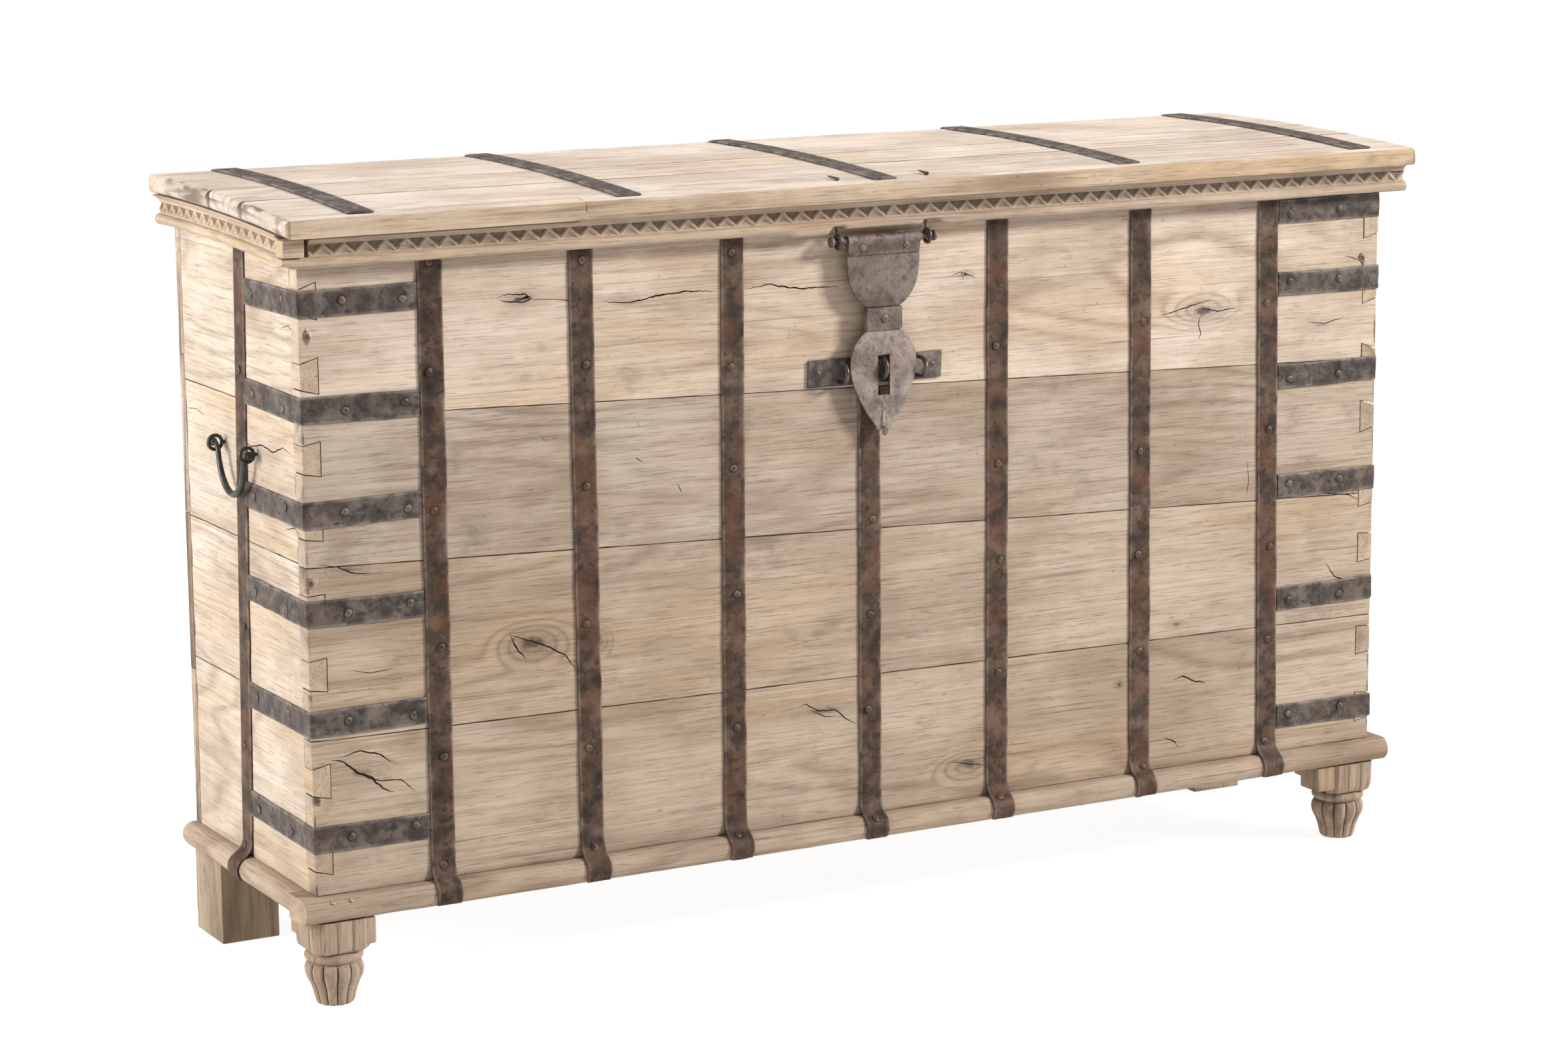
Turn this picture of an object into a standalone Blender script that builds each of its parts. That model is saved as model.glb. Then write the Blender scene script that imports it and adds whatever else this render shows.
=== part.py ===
"""A long wooden chest on four legs, with a hinged lid, iron straps, a hasp and two bail handles.

Metres, +Z up, the chest's length along X, its front towards -Y, standing on z = 0.
"""

import math

import bmesh
import bpy
from mathutils import Vector

# Driving dimensions
LENGTH = 1.500  # over the end boards
DEPTH = 0.392  # over the front and back boards
GAP = 0.0003  # between pieces that touch
HINGE_REACH = 0.0141  # how far the hinge knuckles stand behind the back
LID_FRONT = 0.0436  # how far the lid stands in front of the front boards
MIDDLE_Y = (LID_FRONT - HINGE_REACH) / 2  # the body's middle, which centres the whole chest on y = 0

LEG_HEIGHT = 0.105
BASE_THICK = 0.030
BASE_OUT = 0.020  # the base's rounded edge stands this far out at the front and ends
BODY_Z = LEG_HEIGHT + BASE_THICK  # the boards' lower edge
BOARD_THICK = 0.022
BACK_THICK = 0.016

# The lid's low camber: highest towards the rear, falling to the front
CREST_Y = MIDDLE_Y + 0.150
CREST_Z = BODY_Z + 0.8015
CAMBER = 0.092
LID_THICK = 0.022
LID_REAR = 0.0105
LID_END = 0.028
LID_ROUND = 0.005  # rounding of the lid's front and rear edges
LID_SEAMS = (0.004, -0.098)
SEAM_GAP = 0.0006

FRIEZE_HEIGHT = 0.037
FRIEZE_IN = 0.0045  # clear of the straps behind it

# Front seams: height at the middle of the chest, above the base, and slope along X
FRONT_SEAMS = ((0.1760, -0.0101), (0.3589, -0.0361), (0.5345, -0.0322))
LEFT_SEAMS = (0.212, 0.388, 0.555)
RIGHT_SEAMS = (0.388,)
PIN_HEIGHTS = (0.045, 0.135, 0.260, 0.335, 0.435, 0.510, 0.605, 0.690)
PIN_NARROW = 0.015  # half height of a dovetail pin at the outer face
PIN_WIDE = 0.020

STRAP_WIDE = 0.031
STRAP_THICK = 0.003
FRONT_STRAPS = (  # middle, and how far the foot stands to the right of the top
    (-0.590, 0.000),
    (-0.398, 0.003),
    (-0.202, -0.003),
    (-0.014, 0.000),
    (0.169, 0.000),
    (0.382, 0.005),
    (0.579, 0.009),
)
CENTRE_STRAP = 3
CENTRE_STRAP_TOP = 0.533
END_STRAP_LEAN = 0.049
LEFT_BANDS = (0.0671, 0.2032, 0.3316, 0.4459, 0.5663, 0.6866)
RIGHT_BANDS = (0.0458, 0.2059, 0.3532, 0.4984, 0.6173, 0.7120)
LID_STRAPS = (-0.682, -0.348, -0.005, 0.344, 0.698)
HINGE_STRAPS = (1, 3)
LID_STRAP_FRONT = 0.016  # how far a lid strap stops short of the lid's front edge

KNUCKLE_R = 0.006
PIN_R = 0.003
PIN_BORE_R = 0.0034
HINGE_Y = MIDDLE_Y + DEPTH / 2 + HINGE_REACH - KNUCKLE_R
HINGE_BELOW = 0.007  # the pin's height under the lid
TONGUE_WIDE = 0.011
KNUCKLE_SPACE = 0.0004
BACK_STRAP_LONG = 0.26

HASP_X = -0.003
HASP_OUT = 0.0165
HASP_Z = BODY_Z + 0.716
HASP_THICK = 0.0035
HASP_ROD_R = 0.004
HASP_ROLL_R = 0.007
HASP_TOP_HALF = 0.050
EYE_OFFSET = 0.062
EYE_R = 0.0075
EYE_WIRE_R = 0.0026
SLOT_WIDE = 0.0165
SLOT_LOW = BODY_Z + 0.526
SLOT_HIGH = BODY_Z + 0.5755

STAPLE_Z = BODY_Z + 0.559
STAPLE_R = 0.01175
STAPLE_WIRE_R = 0.00275
STAPLE_REACH = 0.0140  # the loop's round part is centred this far in front of the boards
PLATE_LONG = 0.188
PLATE_HIGH = 0.034
PLATE_X = -0.006
PLATE_Z = BODY_Z + 0.556
SIDE_LOOP = 0.055

HANDLE_Y = MIDDLE_Y - 0.003
HANDLE_HEIGHTS = {-1: BODY_Z + 0.497, 1: BODY_Z + 0.558}  # left, right: each between two corner bands
HANDLE_OUT = 0.0125
HANDLE_HALF = 0.052
HANDLE_DROP = 0.054
HANDLE_WIRE_R = 0.0042
HANDLE_EYE_R = 0.0085
HANDLE_EYE_WIRE_R = 0.0022

FRONT = MIDDLE_Y - DEPTH / 2
BACK = MIDDLE_Y + DEPTH / 2
END = LENGTH / 2
LID_Y0 = FRONT - LID_FRONT
LID_Y1 = BACK + LID_REAR


def camber_drop(y):
    return CAMBER * (y - CREST_Y) ** 2


def lid_top(y):
    return CREST_Z - camber_drop(y)


def lid_under(y):
    return lid_top(y) - LID_THICK


HINGE_Z = lid_under(LID_Y1) - HINGE_BELOW


def clear_scene():
    for obj in list(bpy.data.objects):
        bpy.data.objects.remove(obj, do_unlink=True)


def new_collection(name):
    made = bpy.data.collections.new(name)
    bpy.context.scene.collection.children.link(made)
    return made


def material(name, colour, roughness, metallic=0.0):
    made = bpy.data.materials.new(name)
    made.use_nodes = True
    shader = made.node_tree.nodes["Principled BSDF"]
    shader.inputs["Base Color"].default_value = (*colour, 1.0)
    shader.inputs["Roughness"].default_value = roughness
    shader.inputs["Metallic"].default_value = metallic
    return made


clear_scene()
PIECES = new_collection("wooden_chest")
HELPERS = new_collection("cutters")
PIN_CUTTERS = new_collection("pin_cutters")
OAK = material("bleached_wood", (0.62, 0.49, 0.35), 0.8)
PALE = material("pale_wood", (0.70, 0.57, 0.41), 0.8)
IRON = material("hammered_iron", (0.10, 0.075, 0.065), 0.55, 0.8)
HASP_IRON = material("pitted_iron", (0.17, 0.14, 0.125), 0.7, 0.7)


def keep(name, bm, finish, collection=PIECES):
    """Turns a bmesh into a named object with outward faces."""
    bmesh.ops.recalc_face_normals(bm, faces=bm.faces)
    mesh = bpy.data.meshes.new(name)
    bm.to_mesh(mesh)
    bm.free()
    mesh.materials.append(finish)
    obj = bpy.data.objects.new(name, mesh)
    collection.objects.link(obj)
    if collection is not PIECES:
        obj.hide_render = True
        obj.display_type = "WIRE"
    return obj


def cube_mesh(low, high):
    bm = bmesh.new()
    bmesh.ops.create_cube(bm, size=1.0)
    for vert in bm.verts:
        vert.co = [low[i] + (vert.co[i] + 0.5) * (high[i] - low[i]) for i in range(3)]
    return bm


def cut_along_y(bm, low, high, count):
    """Adds edge loops between low and high, so that the mesh can follow the camber."""
    for step in range(1, count):
        parts = bm.verts[:] + bm.edges[:] + bm.faces[:]
        where = (0, low + (high - low) * step / count, 0)
        bmesh.ops.bisect_plane(bm, geom=parts, plane_co=where, plane_no=(0, 1, 0))


def box(name, low, high, finish, collection=PIECES):
    return keep(name, cube_mesh(low, high), finish, collection)


def prism_mesh(outline, axis, low, high):
    """Extrudes an outline, given in the plane across axis, from low to high along it."""
    bm = bmesh.new()
    places = {"X": lambda a, b: (low, a, b), "Y": lambda a, b: (a, low, b), "Z": lambda a, b: (a, b, low)}
    face = bm.faces.new([bm.verts.new(places[axis](a, b)) for a, b in outline])
    grown = bmesh.ops.extrude_face_region(bm, geom=[face])["geom"]
    step = [high - low if letter == axis else 0 for letter in "XYZ"]
    bmesh.ops.translate(bm, vec=step, verts=[g for g in grown if isinstance(g, bmesh.types.BMVert)])
    return bm


def cylinder(name, start, axis, radius, length, finish, collection=PIECES, sides=24):
    bm = bmesh.new()
    bmesh.ops.create_cone(bm, cap_ends=True, segments=sides, radius1=radius, radius2=radius, depth=length)
    turn = {"X": (0, math.pi / 2, 0), "Y": (-math.pi / 2, 0, 0), "Z": (0, 0, 0)}[axis]
    obj = keep(name, bm, finish, collection)
    centre = [start[i] + (length / 2 if "XYZ"[i] == axis else 0) for i in range(3)]
    obj.location = centre
    obj.rotation_euler = turn
    return obj


def ring(name, centre, turn, radius, wire, finish, collection=PIECES):
    bpy.ops.mesh.primitive_torus_add(
        major_segments=24, minor_segments=10, major_radius=radius, minor_radius=wire,
        location=centre, rotation=turn,
    )
    obj = bpy.context.object
    obj.name = name
    obj.data.materials.append(finish)
    for owner in list(obj.users_collection):
        owner.objects.unlink(obj)
    collection.objects.link(obj)
    if collection is not PIECES:
        obj.hide_render = True
        obj.display_type = "WIRE"
    return obj


def combine(obj, others, operation="UNION"):
    for other in others:
        modifier = obj.modifiers.new(operation.title() + "_" + other.name, "BOOLEAN")
        modifier.operation = operation
        modifier.object = other
        modifier.solver = "EXACT"
    return obj


def soften(obj, width, segments=2):
    modifier = obj.modifiers.new("Bevel", "BEVEL")
    modifier.width = width
    modifier.segments = segments
    modifier.limit_method = "ANGLE"
    return obj


def thicken(name, bm, outward, finish):
    """Turns an open strip of faces into flat iron, thickened on its outer side."""
    bm.faces.ensure_lookup_table()
    bm.normal_update()
    if bm.faces[0].normal.dot(outward) < 0:
        bmesh.ops.reverse_faces(bm, faces=bm.faces)
    mesh = bpy.data.meshes.new(name)
    bm.to_mesh(mesh)
    bm.free()
    mesh.materials.append(finish)
    obj = bpy.data.objects.new(name, mesh)
    PIECES.objects.link(obj)
    solid = obj.modifiers.new("Solidify", "SOLIDIFY")
    solid.thickness = STRAP_THICK
    solid.offset = 1.0
    solid.use_even_offset = True
    return obj


def band(name, path, axis, low, high, outward, finish=IRON, shear=0.0):
    """A strip of flat iron along a path given across axis; outward is where its first face looks."""
    bm = bmesh.new()
    rows = []
    for a, b in path:
        ends = [(low, a, b), (high, a, b)] if axis == "X" else [(a, b, low), (a, b, high)]
        rows.append([bm.verts.new(end) for end in ends])
    for near, far in zip(rows, rows[1:]):
        bm.faces.new((near[0], near[1], far[1], far[0]))
    heights = [vert.co.z for vert in bm.verts]
    middle = (max(heights) + min(heights)) / 2
    for vert in bm.verts:
        vert.co.x -= shear * (vert.co.z - middle)
    return thicken(name, bm, Vector(outward), finish)


def arc(centre, radius, start, end, steps):
    """Points on a circle, angles in degrees."""
    turns = [math.radians(start + (end - start) * i / steps) for i in range(steps + 1)]
    return [(centre[0] + radius * math.cos(t), centre[1] + radius * math.sin(t)) for t in turns]


# ---------------------------------------------------------------- body boards


def pin_outline(side, height, grow):
    """One dovetail pin as the front shows it: narrow at the outer end, wide inside."""
    inner, outer = END - BOARD_THICK - grow, END + grow
    low, high = PIN_NARROW + grow, PIN_WIDE + grow
    z = BODY_Z + height
    return [(side * inner, z - high), (side * outer, z - low),
            (side * outer, z + low), (side * inner, z + high)]


def seam_z(seam, x, side):
    """Height at x of a front board's edge, above (1) or below (-1) a seam; the outermost edges are level."""
    if seam < 0:
        return BODY_Z + GAP
    if seam == len(FRONT_SEAMS):
        return lid_under(FRONT) - 2 * GAP
    middle, slope = FRONT_SEAMS[seam]
    return BODY_Z + middle + slope * x + side * SEAM_GAP / 2


def make_front():
    for side in (-1, 1):
        for index, height in enumerate(PIN_HEIGHTS):
            bm = prism_mesh(pin_outline(side, height, GAP), "Y", FRONT - 0.005, FRONT + BOARD_THICK + 0.005)
            keep(f"pin_cutter_{side}_{index}", bm, OAK, PIN_CUTTERS)
    for index in range(len(FRONT_SEAMS) + 1):
        outline = [(-END, seam_z(index - 1, -END, 1)), (END, seam_z(index - 1, END, 1)),
                   (END, seam_z(index, END, -1)), (-END, seam_z(index, -END, -1))]
        board = keep(f"front_board_{index + 1}", prism_mesh(outline, "Y", FRONT, FRONT + BOARD_THICK), OAK)
        sockets = board.modifiers.new("Sockets", "BOOLEAN")
        sockets.operation = "DIFFERENCE"
        sockets.operand_type = "COLLECTION"
        sockets.collection = PIN_CUTTERS


def make_end(name, side, seams):
    """The end's boards, each with the dovetail pins that fall in its height."""
    edges = [0.0, *seams, None]
    y0, y1 = FRONT + BOARD_THICK + GAP, BACK - BACK_THICK - GAP
    x0, x1 = sorted((side * END, side * (END - BOARD_THICK)))
    for index, (low, high) in enumerate(zip(edges, edges[1:])):
        z0 = BODY_Z + low + (SEAM_GAP / 2 if index else GAP)
        z1 = BODY_Z + high - SEAM_GAP / 2 if high else lid_under(CREST_Y)
        bm = cube_mesh((x0, y0, z0), (x1, y1, z1))
        if high is None:
            cut_along_y(bm, y0, y1, 8)
            for vert in bm.verts:
                if vert.co.z > z1 - GAP:
                    vert.co.z = lid_under(vert.co.y) - 2 * GAP
        board = keep(f"{name}_end_board_{index + 1}", bm, PALE)
        pins = []
        for number, height in enumerate(PIN_HEIGHTS):
            if low < height and (high is None or height < high):
                outline = pin_outline(side, height, 0.0)
                overlap = FRONT + BOARD_THICK + 0.004
                pin = prism_mesh(outline, "Y", FRONT, overlap)
                pins.append(keep(f"{name}_pin_{number}", pin, PALE, HELPERS))
        combine(board, pins)


def make_back_and_base():
    top = lid_under(BACK) - 2 * GAP
    box("back_panel", (-END, BACK - BACK_THICK, BODY_Z + GAP), (END, BACK, top), OAK)
    low = (-END - BASE_OUT, FRONT - BASE_OUT, LEG_HEIGHT)
    high = (END + BASE_OUT, BACK, BODY_Z)
    bm = cube_mesh(low, high)
    outer = [edge for edge in bm.edges
             if all(vert.co.y < low[1] + GAP for vert in edge.verts)
             or all(abs(vert.co.x) > high[0] - GAP for vert in edge.verts)]
    flat = [edge for edge in outer if abs(edge.verts[0].co.z - edge.verts[1].co.z) < GAP]
    bmesh.ops.bevel(bm, geom=flat, offset=BASE_THICK / 2 - GAP, segments=5, profile=0.5, affect="EDGES")
    keep("base_panel", bm, OAK)


# ---------------------------------------------------------------- legs


def turned(name, x, y, profile, finish):
    """A turned solid from a profile of radius and height, listed from the top down."""
    mesh = bpy.data.meshes.new(name)
    bm = bmesh.new()
    verts = [bm.verts.new((radius, 0, height)) for radius, height in profile]
    for first, second in zip(verts, verts[1:]):
        bm.edges.new((first, second))
    bm.to_mesh(mesh)
    bm.free()
    mesh.materials.append(finish)
    obj = bpy.data.objects.new(name, mesh)
    PIECES.objects.link(obj)
    obj.location = (x, y, 0)
    screw = obj.modifiers.new("Screw", "SCREW")
    screw.steps = screw.render_steps = 24
    screw.use_merge_vertices = True
    screw.merge_threshold = 1e-5
    return obj


def make_front_leg(name, side, wing_reach):
    """A turned foot and ring under a square block with two short wings; the front one reaches inward."""
    x, y = side * 0.7205, FRONT + 0.024
    block = 0.037
    block_low = 0.066
    profile = [(0, 0.085), (0.028, 0.085), (0.031, block_low), (0.0350, 0.0585), (0.0312, 0.0510),
               (0.0340, 0.0450), (0.0350, 0.0390), (0.0326, 0.0290), (0.0275, 0.0190),
               (0.0233, 0.0080), (0.0210, 0), (0, 0)]
    leg = turned(name, x, y, profile, OAK)
    top = LEG_HEIGHT - GAP
    corner = 0.012
    half = block
    octagon = [(x + sx * a, y + sy * b) for sx, sy, a, b in (
        (-1, -1, half - corner, half), (1, -1, half - corner, half), (1, -1, half, half - corner),
        (1, 1, half, half - corner), (1, 1, half - corner, half), (-1, 1, half - corner, half),
        (-1, 1, half, half - corner), (-1, -1, half, half - corner))]
    core = keep(f"{name}_block", prism_mesh(octagon, "Z", block_low, top), OAK, HELPERS)
    wing_low = 0.072
    inward = -side
    wx = sorted((x + inward * 0.020, x + inward * wing_reach))
    wings = [box(f"{name}_front_wing", (wx[0], y - 0.030, wing_low), (wx[1], y + 0.006, top - 0.0002), OAK,
                 HELPERS),
             box(f"{name}_rear_wing", (x - 0.029, y + 0.020, wing_low), (x + 0.029, y + 0.058, top - 0.0004),
                 OAK, HELPERS)]
    combine(leg, [core, *wings])


def make_legs():
    make_front_leg("leg_front_left", -1, 0.041)
    make_front_leg("leg_front_right", 1, 0.058)
    for name, side in (("leg_rear_left", -1), ("leg_rear_right", 1)):
        low = (side * 0.718 - 0.037, BACK - 0.092, 0)
        high = (side * 0.718 + 0.037, BACK - 0.004, LEG_HEIGHT - GAP)
        soften(box(name, low, high, OAK), 0.003, 1)


# ---------------------------------------------------------------- straps and bands


def nose_path(top):
    """Down a face at 0, then over the base's half-round edge: (distance out, height)."""
    middle, radius = LEG_HEIGHT + BASE_THICK / 2, BASE_THICK / 2 + GAP
    nose = arc((BASE_OUT - BASE_THICK / 2, middle), radius, 60, -45, 7)
    return [(GAP, top), (GAP, BODY_Z + 0.016), (0.0022, BODY_Z + 0.0090), (0.0068, BODY_Z + 0.0038), *nose]


def make_front_straps():
    for index, (x, lean) in enumerate(FRONT_STRAPS):
        top = BODY_Z + (CENTRE_STRAP_TOP if index == CENTRE_STRAP else 0.757)
        path = [(FRONT - out, height) for out, height in nose_path(top)]
        x0, x1 = x - STRAP_WIDE / 2, x + STRAP_WIDE / 2
        band(f"front_strap_{index + 1}", path, "X", x0, x1, (0, -1, 0), shear=lean / 0.7)


def end_strap_y(z):
    """The end strap's middle: it leans, with its foot further back."""
    return MIDDLE_Y - 0.003 + END_STRAP_LEAN * (BODY_Z + 0.40 - z)


def make_end_strap(name, side):
    rows = nose_path(BODY_Z + 0.757)
    bm = bmesh.new()
    pairs = []
    for out, z in rows:
        y = end_strap_y(z)
        pairs.append([bm.verts.new((side * (END + out), y + across * STRAP_WIDE / 2, z))
                      for across in (-1, 1)])
    for upper, lower in zip(pairs, pairs[1:]):
        bm.faces.new((upper[0], upper[1], lower[1], lower[0]))
    thicken(name, bm, Vector((side, 0, 0)), IRON)


def make_corner_bands():
    """Six L-shaped bands round each front corner, from the outer front strap to the end strap."""
    for name, side, heights, strap in (("left", -1, LEFT_BANDS, FRONT_STRAPS[0]),
                                       ("right", 1, RIGHT_BANDS, FRONT_STRAPS[-1])):
        for index, height in enumerate(heights):
            z = BODY_Z + height
            lean = strap[1] / 0.7 * (BODY_Z + 0.37 - z)
            inner_x = strap[0] + lean + side * (STRAP_WIDE / 2 + 0.0008)
            rear_y = end_strap_y(z) - STRAP_WIDE / 2 - 0.0020
            x, y = side * (END + GAP), FRONT - GAP
            path = [(inner_x, y), (x, y), (x, rear_y)]
            low, high = z - STRAP_WIDE / 2, z + STRAP_WIDE / 2
            band(f"{name}_corner_band_{index + 1}", path, "Z", low, high, (0, -1, 0))


# ---------------------------------------------------------------- lid


def make_lid_boards():
    edges = [LID_Y1, *(MIDDLE_Y + seam for seam in LID_SEAMS), LID_Y0]
    for name, rear, front in zip(("rear", "middle", "front"), edges, edges[1:]):
        y0 = front + (SEAM_GAP / 2 if name != "front" else 0)
        y1 = rear - (SEAM_GAP / 2 if name != "rear" else 0)
        bm = cube_mesh((-END - LID_END, y0, CREST_Z - LID_THICK), (END + LID_END, y1, CREST_Z))
        long_edges = [edge for edge in bm.edges if edge.calc_length() > LENGTH]
        if name == "front":
            worn = [edge for edge in long_edges if edge.verts[0].co.y < y0 + GAP]
        else:
            worn = [edge for edge in long_edges if name == "rear"
                    and edge.verts[0].co.y > y1 - GAP and edge.verts[0].co.z > CREST_Z - GAP]
        if worn:
            bmesh.ops.bevel(bm, geom=worn, offset=LID_ROUND, segments=4, profile=0.5, affect="EDGES")
        cut_along_y(bm, y0, y1, 4)
        for vert in bm.verts:
            vert.co.z -= camber_drop(vert.co.y)
        board = keep(f"lid_board_{name}", bm, OAK)
        if name == "front":
            combine(board, [bpy.data.objects[f"shank_cutter_{side}"] for side in (-1, 1)], "DIFFERENCE")


def frieze_outline():
    """Cove, carved band and bead, as (distance out, height under the lid)."""
    cove = arc((0.0275, -0.0115), 0.0085, 95, 175, 4)
    bead = arc((0.0185, -FRIEZE_HEIGHT + 0.0065), 0.0065, 80, -80, 6)
    return [(FRIEZE_IN, 0.0), (0.0265, 0.0), *cove, (0.0190, -0.0245), *bead, (FRIEZE_IN, -FRIEZE_HEIGHT)]


def make_frieze():
    outline = frieze_outline()
    top = lid_under(FRONT - 0.0265) - GAP
    front = [(FRONT - out, top + height) for out, height in outline]
    x = END + LID_END - 0.002
    strip = keep("lid_frieze_front", prism_mesh(front, "X", -x, x), PALE)
    combine(strip, [bpy.data.objects[f"shank_cutter_{side}"] for side in (-1, 1)], "DIFFERENCE")
    for name, side in (("left", -1), ("right", 1)):
        y0, y1 = FRONT - FRIEZE_IN + GAP, BACK - 0.001
        end = [(side * (END + out), CREST_Z - LID_THICK - GAP + height) for out, height in outline]
        bm = prism_mesh(end, "Y", y0, y1)
        cut_along_y(bm, y0, y1, 8)
        for vert in bm.verts:
            vert.co.z -= camber_drop(vert.co.y)
        keep(f"lid_frieze_{name}", bm, PALE)


def lid_strap_path():
    """From the front end over the camber and round the rear edge."""
    y0, y1 = LID_Y0 + LID_STRAP_FRONT, LID_Y1 - LID_ROUND
    steps = 8
    places = [y0 + (y1 - y0) * i / steps for i in range(steps)]
    corner = arc((y1, lid_top(y1) - LID_ROUND), LID_ROUND + 2 * GAP, 90, 0, 6)
    return [(y, lid_top(y) + GAP) for y in places] + corner


def make_lid_straps():
    for index, x in enumerate(LID_STRAPS):
        path = lid_strap_path()
        path.append((LID_Y1 + 2 * GAP, lid_top(LID_Y1) - 0.014))
        name = f"lid_strap_{index + 1}"
        strap = band(name, path, "X", x - STRAP_WIDE / 2, x + STRAP_WIDE / 2, (0, 0, 1))
        if index not in HINGE_STRAPS:
            continue
        half = TONGUE_WIDE / 2
        y = LID_Y1 + 2 * GAP
        tongue = box(f"{name}_tongue", (x - half, y, HINGE_Z),
                     (x + half, y + STRAP_THICK - 0.0001, lid_top(LID_Y1) - 0.010), IRON, HELPERS)
        knuckle = cylinder(f"{name}_knuckle", (x - half, HINGE_Y, HINGE_Z), "X", KNUCKLE_R, TONGUE_WIDE,
                           IRON, HELPERS)
        bore = cylinder(f"{name}_bore", (x - STRAP_WIDE, HINGE_Y, HINGE_Z), "X", PIN_BORE_R, 2 * STRAP_WIDE,
                        IRON, HELPERS)
        combine(strap, [tongue, knuckle])
        combine(strap, [bore], "DIFFERENCE")


def make_back_hinge(name, x):
    """The lower leaf: a strap down the back, two knuckles and the pin through them."""
    y0 = BACK + GAP
    half = STRAP_WIDE / 2
    low, high = HINGE_Z - BACK_STRAP_LONG, HINGE_Z - KNUCKLE_R - 0.0006
    leaf = box(name, (x - half, y0, low), (x + half, y0 + STRAP_THICK, high), IRON)
    joined = []
    inner = TONGUE_WIDE / 2 + KNUCKLE_SPACE
    for side in (-1, 1):
        x0, x1 = sorted((x + side * inner, x + side * half))
        neck_top = (x1 - 0.0001, y0 + STRAP_THICK - 0.0001, HINGE_Z)
        joined.append(box(f"{name}_neck_{side}", (x0, y0, high - 0.004), neck_top, IRON, HELPERS))
        joined.append(cylinder(f"{name}_knuckle_{side}", (x0, HINGE_Y, HINGE_Z), "X", KNUCKLE_R, x1 - x0,
                               IRON, HELPERS))
    joined.append(cylinder(f"{name}_pin", (x - half - 0.002, HINGE_Y, HINGE_Z), "X", PIN_R,
                           STRAP_WIDE + 0.004, IRON, HELPERS))
    combine(leaf, joined)


# ---------------------------------------------------------------- hasp and staple


def make_hasp_eyes():
    """Two eyes whose shanks run up through the frieze and lid, with their tails clenched on top."""
    for name, side in (("left", -1), ("right", 1)):
        x, y = HASP_X + side * EYE_OFFSET, FRONT - HASP_OUT
        top = lid_top(y)
        cylinder(f"shank_cutter_{side}", (x, y, HASP_Z), "Z", EYE_WIRE_R + GAP, top + 0.05 - HASP_Z, IRON,
                 HELPERS, 12)
        eye = ring(f"hasp_eye_{name}", (x, y, HASP_Z), (0, math.pi / 2, 0), EYE_R, EYE_WIRE_R, HASP_IRON)
        shank = cylinder(f"eye_shank_{name}", (x, y, HASP_Z + EYE_R), "Z", EYE_WIRE_R - 0.0002,
                         top + 0.0042 - HASP_Z - EYE_R, HASP_IRON, HELPERS, 12)
        tail = cylinder(f"eye_tail_{name}", (x, y - 0.002, lid_top(y + 0.022) + EYE_WIRE_R + 0.0002), "Y",
                        EYE_WIRE_R - 0.0003, 0.024, HASP_IRON, HELPERS, 12)
        combine(eye, [shank, tail])


def hasp_outline():
    """Shield, neck and teardrop leaf: half widths with heights above the boards' lower edge."""
    right = [(0.0500, 0.716), (0.0500, 0.690), (0.0480, 0.671), (0.0425, 0.655), (0.0335, 0.643),
             (0.0220, 0.634), (0.0210, 0.606), (0.0300, 0.600), (0.0400, 0.588), (0.0455, 0.573),
             (0.0455, 0.559), (0.0410, 0.541), (0.0300, 0.518), (0.0180, 0.500), (0.0060, 0.484)]
    left = [(-width, height) for width, height in reversed(right)]
    return [(HASP_X + width, BODY_Z + height) for width, height in right + left]


def make_hasp():
    y = FRONT - HASP_OUT
    y0, y1 = y - HASP_THICK / 2, y + HASP_THICK / 2
    hasp = keep("hasp", prism_mesh(hasp_outline(), "Y", y0, y1), HASP_IRON)
    half = HASP_TOP_HALF
    roll = cylinder("hasp_roll", (HASP_X - half - 0.0005, y, HASP_Z), "X", HASP_ROLL_R, 2 * half + 0.001,
                    HASP_IRON, HELPERS)
    reach = EYE_OFFSET + 0.0115
    rod = cylinder("hasp_rod", (HASP_X - reach, y, HASP_Z), "X", HASP_ROD_R, 2 * reach, HASP_IRON, HELPERS)
    heads = [cylinder(f"rod_head_{side}", (HASP_X + side * (EYE_OFFSET + 0.0085) - 0.002, y, HASP_Z), "X",
                      0.0065, 0.004, HASP_IRON, HELPERS) for side in (-1, 1)]
    fold = box("hasp_fold", (HASP_X - half + 0.0005, y0 - 0.0025, BODY_Z + 0.6985),
               (HASP_X + half - 0.0005, y, HASP_Z), HASP_IRON, HELPERS)
    collar = box("hasp_collar", (HASP_X - 0.0245, y0 - 0.003, BODY_Z + 0.606),
                 (HASP_X + 0.0245, y1 + 0.0025, BODY_Z + 0.633), HASP_IRON, HELPERS)
    slot = box("hasp_slot", (HASP_X - SLOT_WIDE / 2, y0 - 0.01, SLOT_LOW),
               (HASP_X + SLOT_WIDE / 2, y1 + 0.01, SLOT_HIGH), HASP_IRON, HELPERS)
    combine(hasp, [roll, rod, *heads, fold, collar])
    combine(hasp, [slot], "DIFFERENCE")


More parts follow.
